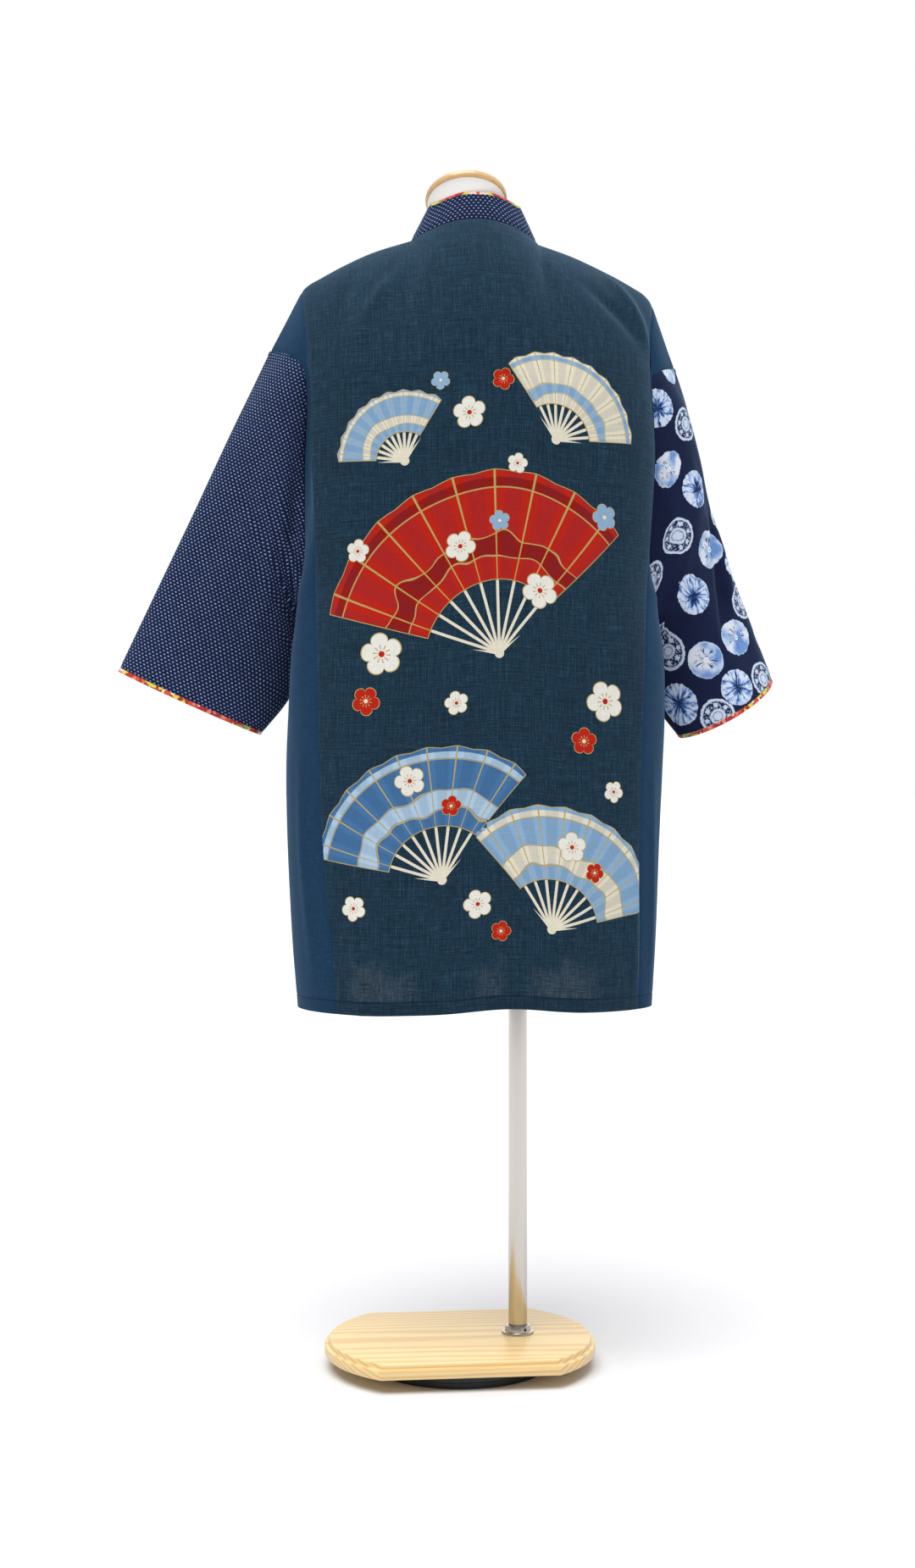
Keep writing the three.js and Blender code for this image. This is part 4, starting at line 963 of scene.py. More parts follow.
def polarOf(tree, mapName):
    # a motif's own map, and the distance and the angle from straight up in it
    place = addNode(tree, "UVMap", uv_map=mapName)
    parts = addNode(tree, "SeparateXYZ", {0: place}).node
    reach = addNode(tree, "VectorMath", {0: place}, out=1, operation="LENGTH")
    angle = addNode(tree, "Math", {0: parts.outputs[0], 1: parts.outputs[1]}, operation="ARCTAN2")
    return place, reach, angle


def softBand(tree, value, middle, halfWidth, soft):
    # 1 where value is within halfWidth of middle
    off = addNode(tree, "Math", {0: value, 1: middle}, operation="SUBTRACT")
    off = addNode(tree, "Math", {0: off}, operation="ABSOLUTE")
    return addNode(tree, "MapRange", {"Value": off, "From Min": halfWidth,
                                      "From Max": halfWidth + soft, **falling})


def hemShade(tree, up):
    # painted shade: the sewn line of a hem, and the turned cloth below it, a little darker
    line = softBand(tree, up, cloth["hemStitch"], 0.5, 0.6)
    below = addNode(tree, "MapRange", {"Value": up, "From Min": cloth["hemStitch"] - 0.4,
                                       "From Max": cloth["hemStitch"], "To Min": 0.14, "To Max": 0.0})
    line = addNode(tree, "Math", {0: line, 1: 0.6}, operation="MULTIPLY")
    return addNode(tree, "Math", {0: line, 1: below}, operation="MAXIMUM")


# a Mix of two colours takes them in at sockets 6 and 7, and gives its own at 2
ofColours = {"out": 2, "data_type": "RGBA"}
# print inks, and the colour of the painted shade at the hem
inks = {"red": "#B5200E", "blue": "#44719F", "ivory": "#DCD6C2", "paleBlue": "#86AACB", "gold": "#B49F5E",
        "sky": "#A9C4DA", "white": "#E2E0D6", "paintedHemShade": "#0A1620"}

# slub cotton, plain woven from uneven yarn: reads as a fine dark and light crosshatch, quite matt
slubCotton, tree, shader, flat = newCotton("slubCottonNavy")
# real slubs are nearer 1 mm wide, drawn wider so that they show
longTone = threadTone(tree, flat, 1.3, 60)
shortTone = threadTone(tree, flat, 1.1, 13)
tone = addNode(tree, "Math", {0: longTone, 1: shortTone}, operation="ADD")
tone = addNode(tree, "Math", {0: tone, 1: 0.5}, operation="MULTIPLY")
slub = addNode(tree, "ValToRGB", {"Fac": tone})
setRamp(slub, [(0.4, "#0F202C"), (0.5, "#182E3E"), (0.6, "#284658")])
shader.inputs["Sheen Weight"].default_value = 0.32

# the fan print: pleated leaves with gold edges on bare sticks
place, reach, angle = polarOf(tree, "fanPlace")
numbers = addNode(tree, "UVMap", uv_map="fanForm")
numbers = addNode(tree, "SeparateXYZ", {0: numbers}).node
radius, kind = numbers.outputs[0], numbers.outputs[1]
share = addNode(tree, "Math", {0: reach, 1: radius}, operation="DIVIDE")
side = addNode(tree, "Math", {0: angle}, operation="ABSOLUTE")
halfOpen = math.radians(fanCut["half"])
toEdge = addNode(tree, "Math", {0: side, 1: halfOpen}, operation="SUBTRACT")
toEdge = addNode(tree, "Math", {0: toEdge, 1: reach}, operation="MULTIPLY")  # mm past the side sticks
pleat = addNode(tree, "Math", {0: angle, 1: fanCut["pleats"] / halfOpen / 2}, operation="MULTIPLY")
zigzag = addNode(tree, "Math", {0: pleat, 1: 1.0}, operation="PINGPONG")
rim = addNode(tree, "Math", {0: zigzag, 1: fanCut["pleatDepth"]}, operation="MULTIPLY")
toRim = addNode(tree, "Math", {0: reach, 1: radius}, operation="SUBTRACT")
toRim = addNode(tree, "Math", {0: toRim, 1: rim}, operation="ADD")  # mm past the pleated rim
innerRim = addNode(tree, "Math", {0: radius, 1: fanCut["inner"]}, operation="MULTIPLY")
toInner = addNode(tree, "Math", {0: innerRim, 1: reach}, operation="SUBTRACT")  # mm short of the leaf
outside = addNode(tree, "Math", {0: toRim, 1: toEdge}, operation="MAXIMUM")
outLeaf = addNode(tree, "Math", {0: outside, 1: toInner}, operation="MAXIMUM")
leaf = addNode(tree, "MapRange", {"Value": outLeaf, "From Min": -0.15, "From Max": 0.15, **falling})
kindPlace = addNode(tree, "Math", {0: kind, 1: 0.25}, operation="MULTIPLY")
leafInk = addNode(tree, "ValToRGB", {"Fac": kindPlace})
setRamp(leafInk, [(0.0, inks["red"]), (0.12, inks["blue"]), (0.37, inks["ivory"]),
                  (0.62, inks["paleBlue"])], "CONSTANT")
bandInk = addNode(tree, "ValToRGB", {"Fac": kindPlace})
setRamp(bandInk, [(0.0, "#8E1509"), (0.12, inks["sky"]), (0.37, inks["paleBlue"]), (0.62, inks["ivory"])],
        "CONSTANT")
misty = addNode(tree, "TexNoise", {"Vector": place, "Scale": 0.02, "Detail": 1.0})
wavering = addNode(tree, "MapRange", {"Value": misty, "From Min": 0.3, "From Max": 0.7, "To Min": -0.05,
                                      "To Max": 0.05})
bandShare = addNode(tree, "Math", {0: share, 1: wavering}, operation="ADD")
band = softBand(tree, bandShare, *fanCut["bands"][0])
rimBand = softBand(tree, share, *fanCut["bands"][1])
bands = addNode(tree, "Math", {0: band, 1: rimBand}, operation="MAXIMUM")
leafInk = addNode(tree, "Mix", {"Factor": bands, 6: leafInk, 7: bandInk}, **ofColours)
pleatShade = addNode(tree, "MapRange", {"Value": zigzag, "From Min": 0.42, "From Max": 0.58,
                                        "To Min": 0.0, "To Max": 0.16})
leafInk = addNode(tree, "Mix", {"Factor": pleatShade, 6: leafInk, 7: inkColour("#19273F")}, **ofColours)
goldLines = softBand(tree, outLeaf, 0.0, fanCut["line"], 0.25)
goldPlaces = ((bandShare, 0.515, 0.0028), (bandShare, 0.645, 0.0028), (share, 0.9, 0.0025),
              (zigzag, 0.0, 0.035))
for value, middle, width in goldPlaces:
    line = softBand(tree, value, middle, width, width)
    goldLines = addNode(tree, "Math", {0: goldLines, 1: line}, operation="MAXIMUM")
nearLeaf = addNode(tree, "MapRange", {"Value": outLeaf, "From Min": 0.8, "From Max": 1.1, **falling})
goldLines = addNode(tree, "Math", {0: goldLines, 1: nearLeaf}, operation="MULTIPLY")
# the sticks run from the rivet to the leaf, one to every second pleat
stickTurn = addNode(tree, "Math", {0: angle, 1: fanCut["pleats"] / halfOpen / 4}, operation="MULTIPLY")
stickTurn = addNode(tree, "Math", {0: stickTurn, 1: 0.5}, operation="ADD")
stickOff = addNode(tree, "Math", {0: stickTurn}, operation="FRACT")
stickOff = addNode(tree, "Math", {0: stickOff, 1: 0.5}, operation="SUBTRACT")
stickOff = addNode(tree, "Math", {0: stickOff}, operation="ABSOLUTE")
stickOff = addNode(tree, "Math", {0: stickOff, 1: halfOpen * 4 / fanCut["pleats"]}, operation="MULTIPLY")
# mm from a stick's middle
stickOff = addNode(tree, "Math", {0: stickOff, 1: reach}, operation="MULTIPLY")
stick = addNode(tree, "MapRange", {"Value": stickOff, "From Min": fanCut["stick"],
                                   "From Max": fanCut["stick"] + 0.3, **falling})
pastSticks = addNode(tree, "Math", {0: toEdge, 1: -2.0}, operation="ADD")
rivet = addNode(tree, "MapRange", {"Value": reach, "From Min": 5.0, "From Max": 5.6, **falling})
between = addNode(tree, "Math", {0: pastSticks, 1: 0.0}, operation="LESS_THAN")
short = addNode(tree, "Math", {0: toInner, 1: -0.5}, operation="GREATER_THAN")
stick = addNode(tree, "Math", {0: stick, 1: between}, operation="MULTIPLY")
stick = addNode(tree, "Math", {0: stick, 1: short}, operation="MULTIPLY")
stick = addNode(tree, "Math", {0: stick, 1: rivet}, operation="MAXIMUM")
printed = addNode(tree, "Mix", {"Factor": stick, 6: slub, 7: inkColour(inks["ivory"])}, **ofColours)
printed = addNode(tree, "Mix", {"Factor": leaf, 6: printed, 7: leafInk}, **ofColours)
printed = addNode(tree, "Mix", {"Factor": goldLines, 6: printed, 7: inkColour(inks["gold"])}, **ofColours)

# five-petalled plum blossoms over them
place, reach, angle = polarOf(tree, "blossomPlace")
numbers = addNode(tree, "UVMap", uv_map="blossomForm")
numbers = addNode(tree, "SeparateXYZ", {0: numbers}).node
share = addNode(tree, "Math", {0: reach, 1: numbers.outputs[0]}, operation="DIVIDE")
petal = addNode(tree, "Math", {0: angle, 1: 2.5}, operation="MULTIPLY")
petal = addNode(tree, "Math", {0: petal}, operation="COSINE")
petal = addNode(tree, "Math", {0: petal}, operation="ABSOLUTE")
petal = addNode(tree, "Math", {0: petal, 1: 0.45}, operation="POWER")
edge = addNode(tree, "MapRange", {"Value": petal, "To Min": 0.6, "To Max": 0.98})
toPetal = addNode(tree, "Math", {0: share, 1: edge}, operation="SUBTRACT")
flower = addNode(tree, "MapRange", {"Value": toPetal, "From Min": -0.01, "From Max": 0.01, **falling})
kindPlace = addNode(tree, "Math", {0: numbers.outputs[1], 1: 0.25}, operation="MULTIPLY")
petalInk = addNode(tree, "ValToRGB", {"Fac": kindPlace})
setRamp(petalInk, [(0.0, inks["red"]), (0.12, inks["white"]), (0.37, inks["paleBlue"])], "CONSTANT")
heartInk = addNode(tree, "ValToRGB", {"Fac": kindPlace})
setRamp(heartInk, [(0.0, inks["ivory"]), (0.12, inks["red"]), (0.37, inks["white"])], "CONSTANT")
stamens = addNode(tree, "Math", {0: angle, 1: 10.0}, operation="MULTIPLY")
stamens = addNode(tree, "Math", {0: stamens}, operation="COSINE")
stamens = addNode(tree, "MapRange", {"Value": stamens, "From Min": 0.6, "From Max": 0.8})
ring = softBand(tree, share, 0.3, 0.1, 0.02)
stamens = addNode(tree, "Math", {0: stamens, 1: ring}, operation="MULTIPLY")
heart = addNode(tree, "MapRange", {"Value": share, "From Min": 0.13, "From Max": 0.15, **falling})
petalInk = addNode(tree, "Mix", {"Factor": stamens, 6: petalInk, 7: inkColour(inks["gold"])}, **ofColours)
petalInk = addNode(tree, "Mix", {"Factor": heart, 6: petalInk, 7: heartInk}, **ofColours)
petalInk = addNode(tree, "Mix", {"Factor": softBand(tree, toPetal, -0.015, 0.03, 0.02), 6: petalInk,
                                 7: inkColour(inks["gold"])}, **ofColours)
printed = addNode(tree, "Mix", {"Factor": flower, 6: printed, 7: petalInk}, **ofColours)
# ink sits on the yarn, so the slubs still show through it a little
wornInk = addNode(tree, "MapRange", {"Value": tone, "From Min": 0.35, "From Max": 0.65, "To Min": 0.82,
                                     "To Max": 1.1})
printed = addNode(tree, "VectorMath", {0: printed, 1: wornInk}, operation="MULTIPLY")
bare = addNode(tree, "Math", {0: leaf, 1: flower}, operation="MAXIMUM")
bare = addNode(tree, "Math", {0: bare, 1: stick}, operation="MAXIMUM")
printed = addNode(tree, "Mix", {"Factor": bare, 6: slub, 7: printed}, **ofColours)
# painted light: one thickness near the hem lets some of the bright room through, painted into the colour
# as soft grey patches
parts = addNode(tree, "SeparateXYZ", {0: flat}).node
cloud = addNode(tree, "TexNoise", {"Vector": flat, "Scale": 0.03, "Detail": 2.0})
cloud = addNode(tree, "MapRange", {"Value": cloud, "From Min": 0.3, "From Max": 0.7, "To Min": -14.0,
                                   "To Max": 14.0})
hemPlace = addNode(tree, "Math", {0: parts.outputs[1], 1: cloud}, operation="ADD")
hemPlace = addNode(tree, "MapRange", {"Value": hemPlace, "From Min": 38.0, "From Max": 62.0, **falling},
                   interpolation_type="SMOOTHSTEP")
aboveHem = addNode(tree, "MapRange", {"Value": parts.outputs[1], "From Min": 15.0, "From Max": 17.0})
paintedGlowPatches = None
for middle, half in ((-118.0, 34.0), (4.0, 12.0), (90.0, 36.0)):  # mm across the panel
    off = addNode(tree, "Math", {0: parts.outputs[0], 1: middle}, operation="SUBTRACT")
    off = addNode(tree, "Math", {0: off}, operation="ABSOLUTE")
    paintedGlowPatch = addNode(tree, "MapRange", {"Value": off, "From Min": half - 14.0, "From Max": half + 14.0,
                                       **falling}, interpolation_type="SMOOTHSTEP")
    paintedGlowPatches = paintedGlowPatch if paintedGlowPatches is None else addNode(tree, "Math", {0: paintedGlowPatches, 1: paintedGlowPatch},
                                                    operation="MAXIMUM")
paintedGlowPatches = addNode(tree, "Math", {0: paintedGlowPatches, 1: hemPlace}, operation="MULTIPLY")
paintedGlowPatches = addNode(tree, "Math", {0: paintedGlowPatches, 1: aboveHem}, operation="MULTIPLY")
# how strong the painted light is, more where the weave is thin
glowThroughWeave = addNode(tree, "MapRange", {"Value": shortTone, "From Min": 0.42, "From Max": 0.6,
                                       "To Min": 0.04, "To Max": 0.24})
paintedGlowPatches = addNode(tree, "Math", {0: paintedGlowPatches, 1: glowThroughWeave}, operation="MULTIPLY")
printed = addNode(tree, "Mix", {"Factor": paintedGlowPatches, 6: printed, 7: inkColour("#6A6E74")}, **ofColours)
# painted shade along the hem's sewn line and below it
printed = addNode(tree, "Mix", {"Factor": hemShade(tree, parts.outputs[1]), 6: printed,
                                7: inkColour(inks["paintedHemShade"])}, **ofColours)
tree.links.new(printed, shader.inputs["Base Color"])
normal = addNode(tree, "Bump", {"Height": tone, "Strength": 0.5, "Distance": 0.5 * mm})
tree.links.new(normal, shader.inputs["Normal"])
wearMaterial(slubCotton, panel)

# plain cotton in one indigo dye bath: even blue with hardly any yarn to be seen
plainCotton, tree, shader, flat = newCotton("plainCottonIndigo")
tone = threadTone(tree, flat, 1.3, 14)
dyed = addNode(tree, "ValToRGB", {"Fac": tone})
setRamp(dyed, [(0.3, "#122C45"), (0.5, "#16344F"), (0.7, "#1E3F5E")])
parts = addNode(tree, "SeparateXYZ", {0: flat}).node
# painted shade along the hem's sewn line and below it
dyed = addNode(tree, "Mix", {"Factor": hemShade(tree, parts.outputs[1]), 6: dyed,
                             7: inkColour(inks["paintedHemShade"])}, **ofColours)
tree.links.new(dyed, shader.inputs["Base Color"])
normal = addNode(tree, "Bump", {"Height": tone, "Strength": 0.5, "Distance": 0.3 * mm})
tree.links.new(normal, shader.inputs["Normal"])
wearMaterial(plainCotton, *strips.values(), *fronts.values())

# kasuri, woven from yarn that was bound before dyeing: soft pale dashes in staggered rows
# how far apart and how large the dashes are, in mm
kasuri = {"pitchU": 5.3, "pitchV": 3.5, "dashU": 1.05, "dashV": 0.72}
dottedCotton, tree, shader, flat = newCotton("kasuriCottonNavy")
tone = threadTone(tree, flat, 1.3, 16)
ground = addNode(tree, "ValToRGB", {"Fac": tone})
setRamp(ground, [(0.3, "#151A35"), (0.5, "#1A1F3E"), (0.7, "#22284A")])
parts = addNode(tree, "SeparateXYZ", {0: flat}).node
rowPlace = addNode(tree, "Math", {0: parts.outputs[1], 1: kasuri["pitchV"]}, operation="DIVIDE")
rowNumber = addNode(tree, "Math", {0: rowPlace}, operation="FLOOR")
shift = addNode(tree, "Math", {0: rowNumber, 1: 0.5}, operation="MULTIPLY")
dashPlace = addNode(tree, "Math", {0: parts.outputs[0], 1: kasuri["pitchU"]}, operation="DIVIDE")
dashPlace = addNode(tree, "Math", {0: dashPlace, 1: shift}, operation="ADD")
offs = []
for where, pitch, half in ((dashPlace, kasuri["pitchU"], kasuri["dashU"]),
                           (rowPlace, kasuri["pitchV"], kasuri["dashV"])):
    part = addNode(tree, "Math", {0: where}, operation="FRACT")
    part = addNode(tree, "Math", {0: part, 1: 0.5}, operation="SUBTRACT")
    offs.append(addNode(tree, "Math", {0: part, 1: pitch / half}, operation="MULTIPLY"))
spot = addNode(tree, "CombineXYZ", {0: offs[0], 1: offs[1]})
spread = addNode(tree, "VectorMath", {0: spot}, out=1, operation="LENGTH")
ragged = addNode(tree, "TexNoise", {"Vector": flat, "Scale": 0.9, "Detail": 2.0})
spread = addNode(tree, "Math", {0: spread, 1: ragged}, operation="ADD")
dash = addNode(tree, "MapRange", {"Value": spread, "From Min": 1.2, "From Max": 1.75, **falling})
dashTone = addNode(tree, "TexNoise", {"Vector": flat, "Scale": 0.11})
dashTone = addNode(tree, "ValToRGB", {"Fac": dashTone})
setRamp(dashTone, [(0.35, "#6F8FB8"), (0.65, "#97B1D2")])
colour = addNode(tree, "Mix", {"Factor": dash, 6: ground, 7: dashTone}, **ofColours)
tree.links.new(colour, shader.inputs["Base Color"])
normal = addNode(tree, "Bump", {"Height": tone, "Strength": 0.5, "Distance": 0.3 * mm})
tree.links.new(normal, shader.inputs["Normal"])
wearMaterial(dottedCotton, sleevePieces[-1], *collars.values())

# shibori roundels: cloth bound in puckers before dyeing, so the discs are streaked from the middle
roundelCotton, tree, shader, flat = newCotton("shiboriCottonNavy")
tone = threadTone(tree, flat, 1.3, 16)
ground = addNode(tree, "ValToRGB", {"Fac": tone})
setRamp(ground, [(0.3, "#141A36"), (0.5, "#181F3D"), (0.7, "#1F2848")])
place, reach, angle = polarOf(tree, "roundelPlace")
numbers = addNode(tree, "UVMap", uv_map="roundelForm")
numbers = addNode(tree, "SeparateXYZ", {0: numbers}).node
kind, seed = numbers.outputs[0], numbers.outputs[1]
seedFar = addNode(tree, "Math", {0: seed, 1: 23.0}, operation="MULTIPLY")
share = addNode(tree, "Math", {0: reach, 1: 1 / roundelRadius}, operation="MULTIPLY")
way = addNode(tree, "VectorMath", {0: place}, operation="NORMALIZE")
way = addNode(tree, "SeparateXYZ", {0: way}).node
lift = addNode(tree, "Math", {0: share, 1: 0.5}, operation="MULTIPLY")
lift = addNode(tree, "Math", {0: lift, 1: seedFar}, operation="ADD")
spokeAt = addNode(tree, "CombineXYZ", {0: way.outputs[0], 1: way.outputs[1], 2: lift})
spokes = addNode(tree, "TexNoise", {"Vector": spokeAt, "Scale": 4.2, "Detail": 4.0, "Roughness": 0.65})
blotAt = addNode(tree, "VectorMath", {0: place, 1: (1 / 30, 1 / 30, 0)}, operation="MULTIPLY")
seedAt = addNode(tree, "CombineXYZ", {2: seedFar})
blotAt = addNode(tree, "VectorMath", {0: blotAt, 1: seedAt}, operation="ADD")
blots = addNode(tree, "TexNoise", {"Vector": blotAt, "Scale": 1.6, "Detail": 1.0})
fine = addNode(tree, "TexNoise", {"Vector": flat, "Scale": 0.5, "Detail": 3.0})
# spoked: dark where the puckers met, pale between them, darker in the middle
centreDark = addNode(tree, "MapRange", {"Value": share, "From Min": 0.0, "From Max": 0.55, "To Min": -0.2,
                                        "To Max": 0.04})
spokedAt = addNode(tree, "Math", {0: spokes, 1: centreDark}, operation="ADD")
spoked = addNode(tree, "ValToRGB", {"Fac": spokedAt})
setRamp(spoked, [(0.36, "#16204A"), (0.43, "#3F63A4"), (0.5, "#83A6DA"), (0.58, "#D3DEEF")])
# pale: a soft blue cloud over one side and a few short dark darts near the middle
paleGround = addNode(tree, "ValToRGB", {"Fac": blots})
setRamp(paleGround, [(0.4, "#DDE2EC"), (0.5, "#B5C9E6"), (0.62, "#6E95CF")])
dartReach = softBand(tree, share, 0.36, 0.2, 0.15)
dart = addNode(tree, "MapRange", {"Value": spokes, "From Min": 0.4, "From Max": 0.46, **falling})
dart = addNode(tree, "Math", {0: dart, 1: dartReach}, operation="MULTIPLY")
pale = addNode(tree, "Mix", {"Factor": dart, 6: paleGround, 7: inkColour("#25407E")}, **ofColours)
pale = addNode(tree, "Mix", {"Factor": softBand(tree, share, 0.1, 0.03, 0.03), 6: pale,
                             7: inkColour("#E8ECF2")}, **ofColours)
# ringed: a pale rim and inner ring, small flowers between them on the dark ground
flowerTurn = addNode(tree, "Math", {0: angle, 1: 7 / (2 * math.pi)}, operation="MULTIPLY")
flowerTurn = addNode(tree, "Math", {0: flowerTurn, 1: seed}, operation="ADD")
flowerTurn = addNode(tree, "Math", {0: flowerTurn}, operation="FRACT")
flowerTurn = addNode(tree, "Math", {0: flowerTurn, 1: 0.5}, operation="SUBTRACT")
flowerX = addNode(tree, "Math", {0: flowerTurn, 1: 0.62 * 2 * math.pi / 7}, operation="MULTIPLY")
flowerY = addNode(tree, "Math", {0: share, 1: 0.64}, operation="SUBTRACT")
flowerOff = addNode(tree, "CombineXYZ", {0: flowerX, 1: flowerY})
flowerOff = addNode(tree, "VectorMath", {0: flowerOff}, out=1, operation="LENGTH")
flowerAngle = addNode(tree, "Math", {0: flowerX, 1: flowerY}, operation="ARCTAN2")
lobes = addNode(tree, "Math", {0: flowerAngle, 1: 5.0}, operation="MULTIPLY")
lobes = addNode(tree, "Math", {0: lobes}, operation="COSINE")
lobes = addNode(tree, "Math", {0: lobes, 1: 0.03}, operation="MULTIPLY")
flowerOff = addNode(tree, "Math", {0: flowerOff, 1: lobes}, operation="ADD")
smallFlower = addNode(tree, "MapRange", {"Value": flowerOff, "From Min": 0.1,
                                         "From Max": 0.14, **falling})
flecks = addNode(tree, "MapRange", {"Value": fine, "From Min": 0.54, "From Max": 0.6, "To Min": 0.0,
                                    "To Max": 0.75})
rough = addNode(tree, "MapRange", {"Value": fine, "From Min": 0.3, "From Max": 0.7, "To Min": -0.06,
                                   "To Max": 0.06})
roughShare = addNode(tree, "Math", {0: share, 1: rough}, operation="ADD")
rings = softBand(tree, share, 0.92, 0.055, 0.05)
innerRing = softBand(tree, roughShare, 0.36, 0.045, 0.05)
heart = softBand(tree, roughShare, 0.1, 0.1, 0.08)
for mask in (innerRing, heart, smallFlower, flecks):
    rings = addNode(tree, "Math", {0: rings, 1: mask}, operation="MAXIMUM")
ringed = addNode(tree, "Mix", {"Factor": rings, 6: inkColour("#18224A"), 7: inkColour("#C9D7EC")},
                 **ofColours)
isPale = addNode(tree, "Math", {0: kind, 1: 0.5}, operation="GREATER_THAN")
isRinged = addNode(tree, "Math", {0: kind, 1: 1.5}, operation="GREATER_THAN")
disc = addNode(tree, "Mix", {"Factor": isPale, 6: spoked, 7: pale}, **ofColours)
disc = addNode(tree, "Mix", {"Factor": isRinged, 6: disc, 7: ringed}, **ofColours)
rimPale = softBand(tree, share, 0.97, 0.02, 0.04)
disc = addNode(tree, "Mix", {"Factor": addNode(tree, "Math", {0: rimPale, 1: 0.6}, operation="MULTIPLY"),
                             6: disc, 7: inkColour("#CBD9EE")}, **ofColours)
raggedEdge = addNode(tree, "MapRange", {"Value": spokes, "From Min": 0.3, "From Max": 0.7, "To Min": 0.05,
                                        "To Max": -0.05})
edgeShare = addNode(tree, "Math", {0: share, 1: raggedEdge}, operation="ADD")
inDisc = addNode(tree, "MapRange", {"Value": edgeShare, "From Min": 0.965, "From Max": 0.995, **falling})
colour = addNode(tree, "Mix", {"Factor": inDisc, 6: ground, 7: disc}, **ofColours)
tree.links.new(colour, shader.inputs["Base Color"])
normal = addNode(tree, "Bump", {"Height": tone, "Strength": 0.5, "Distance": 0.3 * mm})
tree.links.new(normal, shader.inputs["Normal"])
wearMaterial(roundelCotton, sleevePieces[1])

# floral crepe cut into narrow piping: bright scraps of flowers about 5 mm across, none of them whole
floralCrepe, tree, shader = newMaterial("floralCrepePiping", Roughness=0.75, Sheen_Weight=0.2)
flat = addNode(tree, "UVMap", uv_map="flatCloth")
warped = addNode(tree, "TexNoise", {"Vector": flat, "Scale": 0.12, "Detail": 1.0}, out=1)
warped = addNode(tree, "VectorMath", {0: warped, 1: (9, 9, 0)}, operation="MULTIPLY")
warped = addNode(tree, "VectorMath", {0: flat, 1: warped}, operation="ADD")
scraps = addNode(tree, "TexVoronoi", {"Vector": warped, "Scale": 0.2, "Randomness": 1.0}, out=1)
pick = addNode(tree, "SeparateColor", {0: scraps})
petals = addNode(tree, "ValToRGB", {"Fac": pick})
petalStops = [
    (0.0, "#A81C12"), (0.26, "#D2481C"), (0.4, "#D8CE3C"), (0.46, "#EDE6DA"), (0.54, "#E2827A"),
    (0.64, "#B01F18"), (0.8, "#9DB53E"), (0.84, "#2F7F94"), (0.87, "#EFC9C2"), (0.93, "#D9622B"),
]
setRamp(petals, petalStops, "CONSTANT")
tree.links.new(petals, shader.inputs["Base Color"])
crinkle = addNode(tree, "TexNoise", {"Vector": flat, "Scale": 0.9, "Detail": 2.0})
normal = addNode(tree, "Bump", {"Height": crinkle, "Strength": 0.5, "Distance": 0.3 * mm})
tree.links.new(normal, shader.inputs["Normal"])
wearMaterial(floralCrepe, *cuffPieces.values(), *collarPipings.values())

# cotton jersey pulled tight over the form: off-white, with a fine even knit under 1 mm
jersey, tree, shader = newMaterial("jerseyFormCover", Roughness=0.85, Sheen_Weight=0.15)
shader.inputs["Base Color"].default_value = inkColour("#FFFDF8")
flat = addNode(tree, "UVMap", uv_map="flatCloth")
knit = addNode(tree, "TexNoise", {"Vector": flat, "Scale": 1.4, "Detail": 2.0})
normal = addNode(tree, "Bump", {"Height": knit, "Strength": 0.5, "Distance": 0.2 * mm})
tree.links.new(normal, shader.inputs["Normal"])
wearMaterial(jersey, formCover)

# beech under satin varnish: warm and close grained, with darker flecks about 50 mm long and
# 4 mm wide, which is coarser than the real ones so that they show
beech, tree, shader = newMaterial("varnishedBeech", Roughness=0.35, IOR=1.5, Coat_Weight=0.4,
                                  Coat_Roughness=0.2)
where = addNode(tree, "TexCoord", out=3)
stretched = addNode(tree, "Mapping", {"Vector": where, "Scale": (20, 260, 260)})
fleck = addNode(tree, "TexNoise", {"Vector": stretched, "Scale": 1.0, "Detail": 4.0})
grain = addNode(tree, "ValToRGB", {"Fac": fleck})
setRamp(grain, [(0.3, "#D8AC74"), (0.5, "#DEB47E"), (0.7, "#E4BD89")])
tree.links.new(grain, shader.inputs["Base Color"])
wearMaterial(beech, capPiece)

# polished steel tube: long soft reflections, broken a little by drawing lines 0.4 mm wide along it
steel, tree, shader = newMaterial("polishedSteel", Metallic=1.0, Roughness=0.24)
shader.inputs["Base Color"].default_value = inkColour("#C9C4BC")
where = addNode(tree, "TexCoord", out=3)
drawn = addNode(tree, "Mapping", {"Vector": where, "Scale": (2500, 2500, 12)})
lines = addNode(tree, "TexNoise", {"Vector": drawn, "Scale": 1.0, "Detail": 2.0})
normal = addNode(tree, "Bump", {"Height": lines, "Strength": 0.12, "Distance": 0.02 * mm})
tree.links.new(normal, shader.inputs["Normal"])
wearMaterial(steel, polePiece, flangePiece)

# pine board under clear lacquer: pale, with soft growth rings about 5 mm apart that run straight
# along it and curve at the ends
pine, tree, shader = newMaterial("clearPine", Roughness=0.42, IOR=1.5, Coat_Weight=0.25,
                                 Coat_Roughness=0.25)
where = addNode(tree, "TexCoord", out=3)
lie = addNode(tree, "Mapping", {"Vector": where, "Location": (0, 0.02, 0.11), "Scale": (0.09, 1, 1)})
wobble = addNode(tree, "TexNoise", {"Vector": lie, "Scale": 9.0, "Detail": 2.0}, out=1)
pushed = addNode(tree, "VectorMath", {0: wobble, 1: (0.02, 0.02, 0.02)}, operation="MULTIPLY")
lie = addNode(tree, "VectorMath", {0: lie, 1: pushed}, operation="ADD")
years = addNode(tree, "TexWave", {"Vector": lie, "Scale": 60.0, "Distortion": 2.2, "Detail": 3.0}, out=1,
                wave_type="RINGS", rings_direction="X")
grain = addNode(tree, "ValToRGB", {"Fac": years})
setRamp(grain, [(0.0, "#EDD097"), (0.5, "#EACA8E"), (0.85, "#E3BF80"), (1.0, "#DFB775")])
tree.links.new(grain, shader.inputs["Base Color"])
wearMaterial(pine, boardPiece)

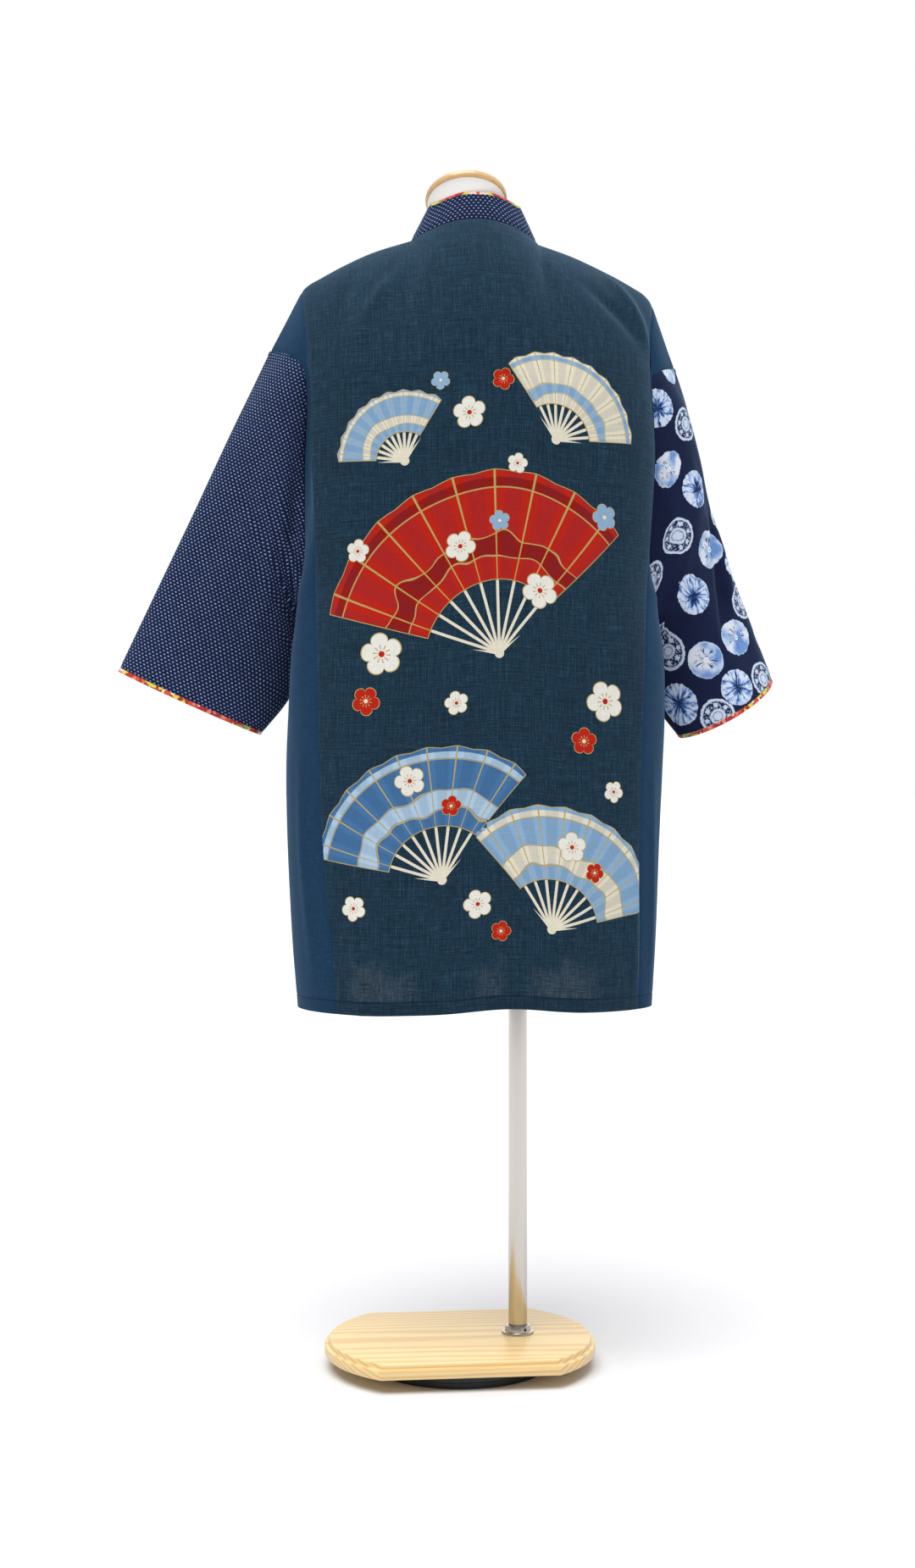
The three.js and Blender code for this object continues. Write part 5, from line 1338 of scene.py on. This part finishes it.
# moulded black plastic, a little scuffed in patches some 17 mm across: soft dull highlights
blackPlastic, tree, shader = newMaterial("mouldedBlackPlastic", Roughness=0.5, IOR=1.46)
where = addNode(tree, "TexCoord", out=3)
scuff = addNode(tree, "TexNoise", {"Vector": where, "Scale": 60.0, "Detail": 4.0})
shade = addNode(tree, "ValToRGB", {"Fac": scuff})
setRamp(shade, [(0.3, "#131416"), (0.7, "#1F2023")])
tree.links.new(shade, shader.inputs["Base Color"])
wearMaterial(blackPlastic, *footPieces, screwPiece)
print("materials are on")


studio = {"skyLight": 0.25, "backdrop": 1.0, "floorSize": 240, "floor": "#E4E4E6"}
bpy.ops.mesh.primitive_plane_add(size=studio["floorSize"], location=(0, 0, 0))
floor = bpy.context.object
floor.name = "studio_floor"
floorPaint, tree, shader = newMaterial("matWhiteFloor", Roughness=0.95)
shader.inputs["Base Color"].default_value = inkColour(studio["floor"])
shader.inputs["Specular IOR Level"].default_value = 0.0
wearMaterial(floorPaint, floor)

world = bpy.data.worlds.new("studioWorld")
world.use_nodes = True
tree = world.node_tree
seen = addNode(tree, "LightPath")  # the backdrop looks white and lights the coat less than that
glow = addNode(tree, "MapRange", {"Value": seen, "To Min": studio["skyLight"],
                                  "To Max": studio["backdrop"]})
tree.links.new(glow, tree.nodes["Background"].inputs["Strength"])
tree.nodes["Background"].inputs["Color"].default_value = (1, 1, 1, 1)
bpy.context.scene.world = world

lamps = {
    # name: where it shines from, softness in degrees, strength
    "keyLight": ((-0.4, -0.7, 2.4), 50, 3.4),
    "fillLight": ((1.9, -1.0, 1.2), 90, 0.3),
    "farLight": ((0.6, 2.0, 1.8), 80, 1.2),
}
for name, (place, softness, strength) in lamps.items():
    lamp = bpy.data.objects.new(name, bpy.data.lights.new(name, "SUN"))
    bpy.context.scene.collection.objects.link(lamp)
    lamp.data.angle = math.radians(softness)
    lamp.data.energy = strength
    lamp.location = place
    lamp.rotation_euler = Vector(place).to_track_quat("Z", "Y").to_euler()

shot = {"lens": 46.68, "sensor": 36, "place": (-0.2525, -2.3736, 0.680), "turn": -6, "farthest": 100}
camera = bpy.data.objects.new("camera", bpy.data.cameras.new("camera"))
bpy.context.scene.collection.objects.link(camera)
camera.data.lens = shot["lens"]
camera.data.sensor_width = shot["sensor"]
camera.data.clip_end = shot["farthest"]
camera.location = shot["place"]
camera.rotation_euler = (math.radians(90), 0, math.radians(shot["turn"]))
bpy.context.scene.camera = camera
bpy.context.scene.view_settings.view_transform = "Standard"
print("the camera and", len(lamps), "lamps are set")
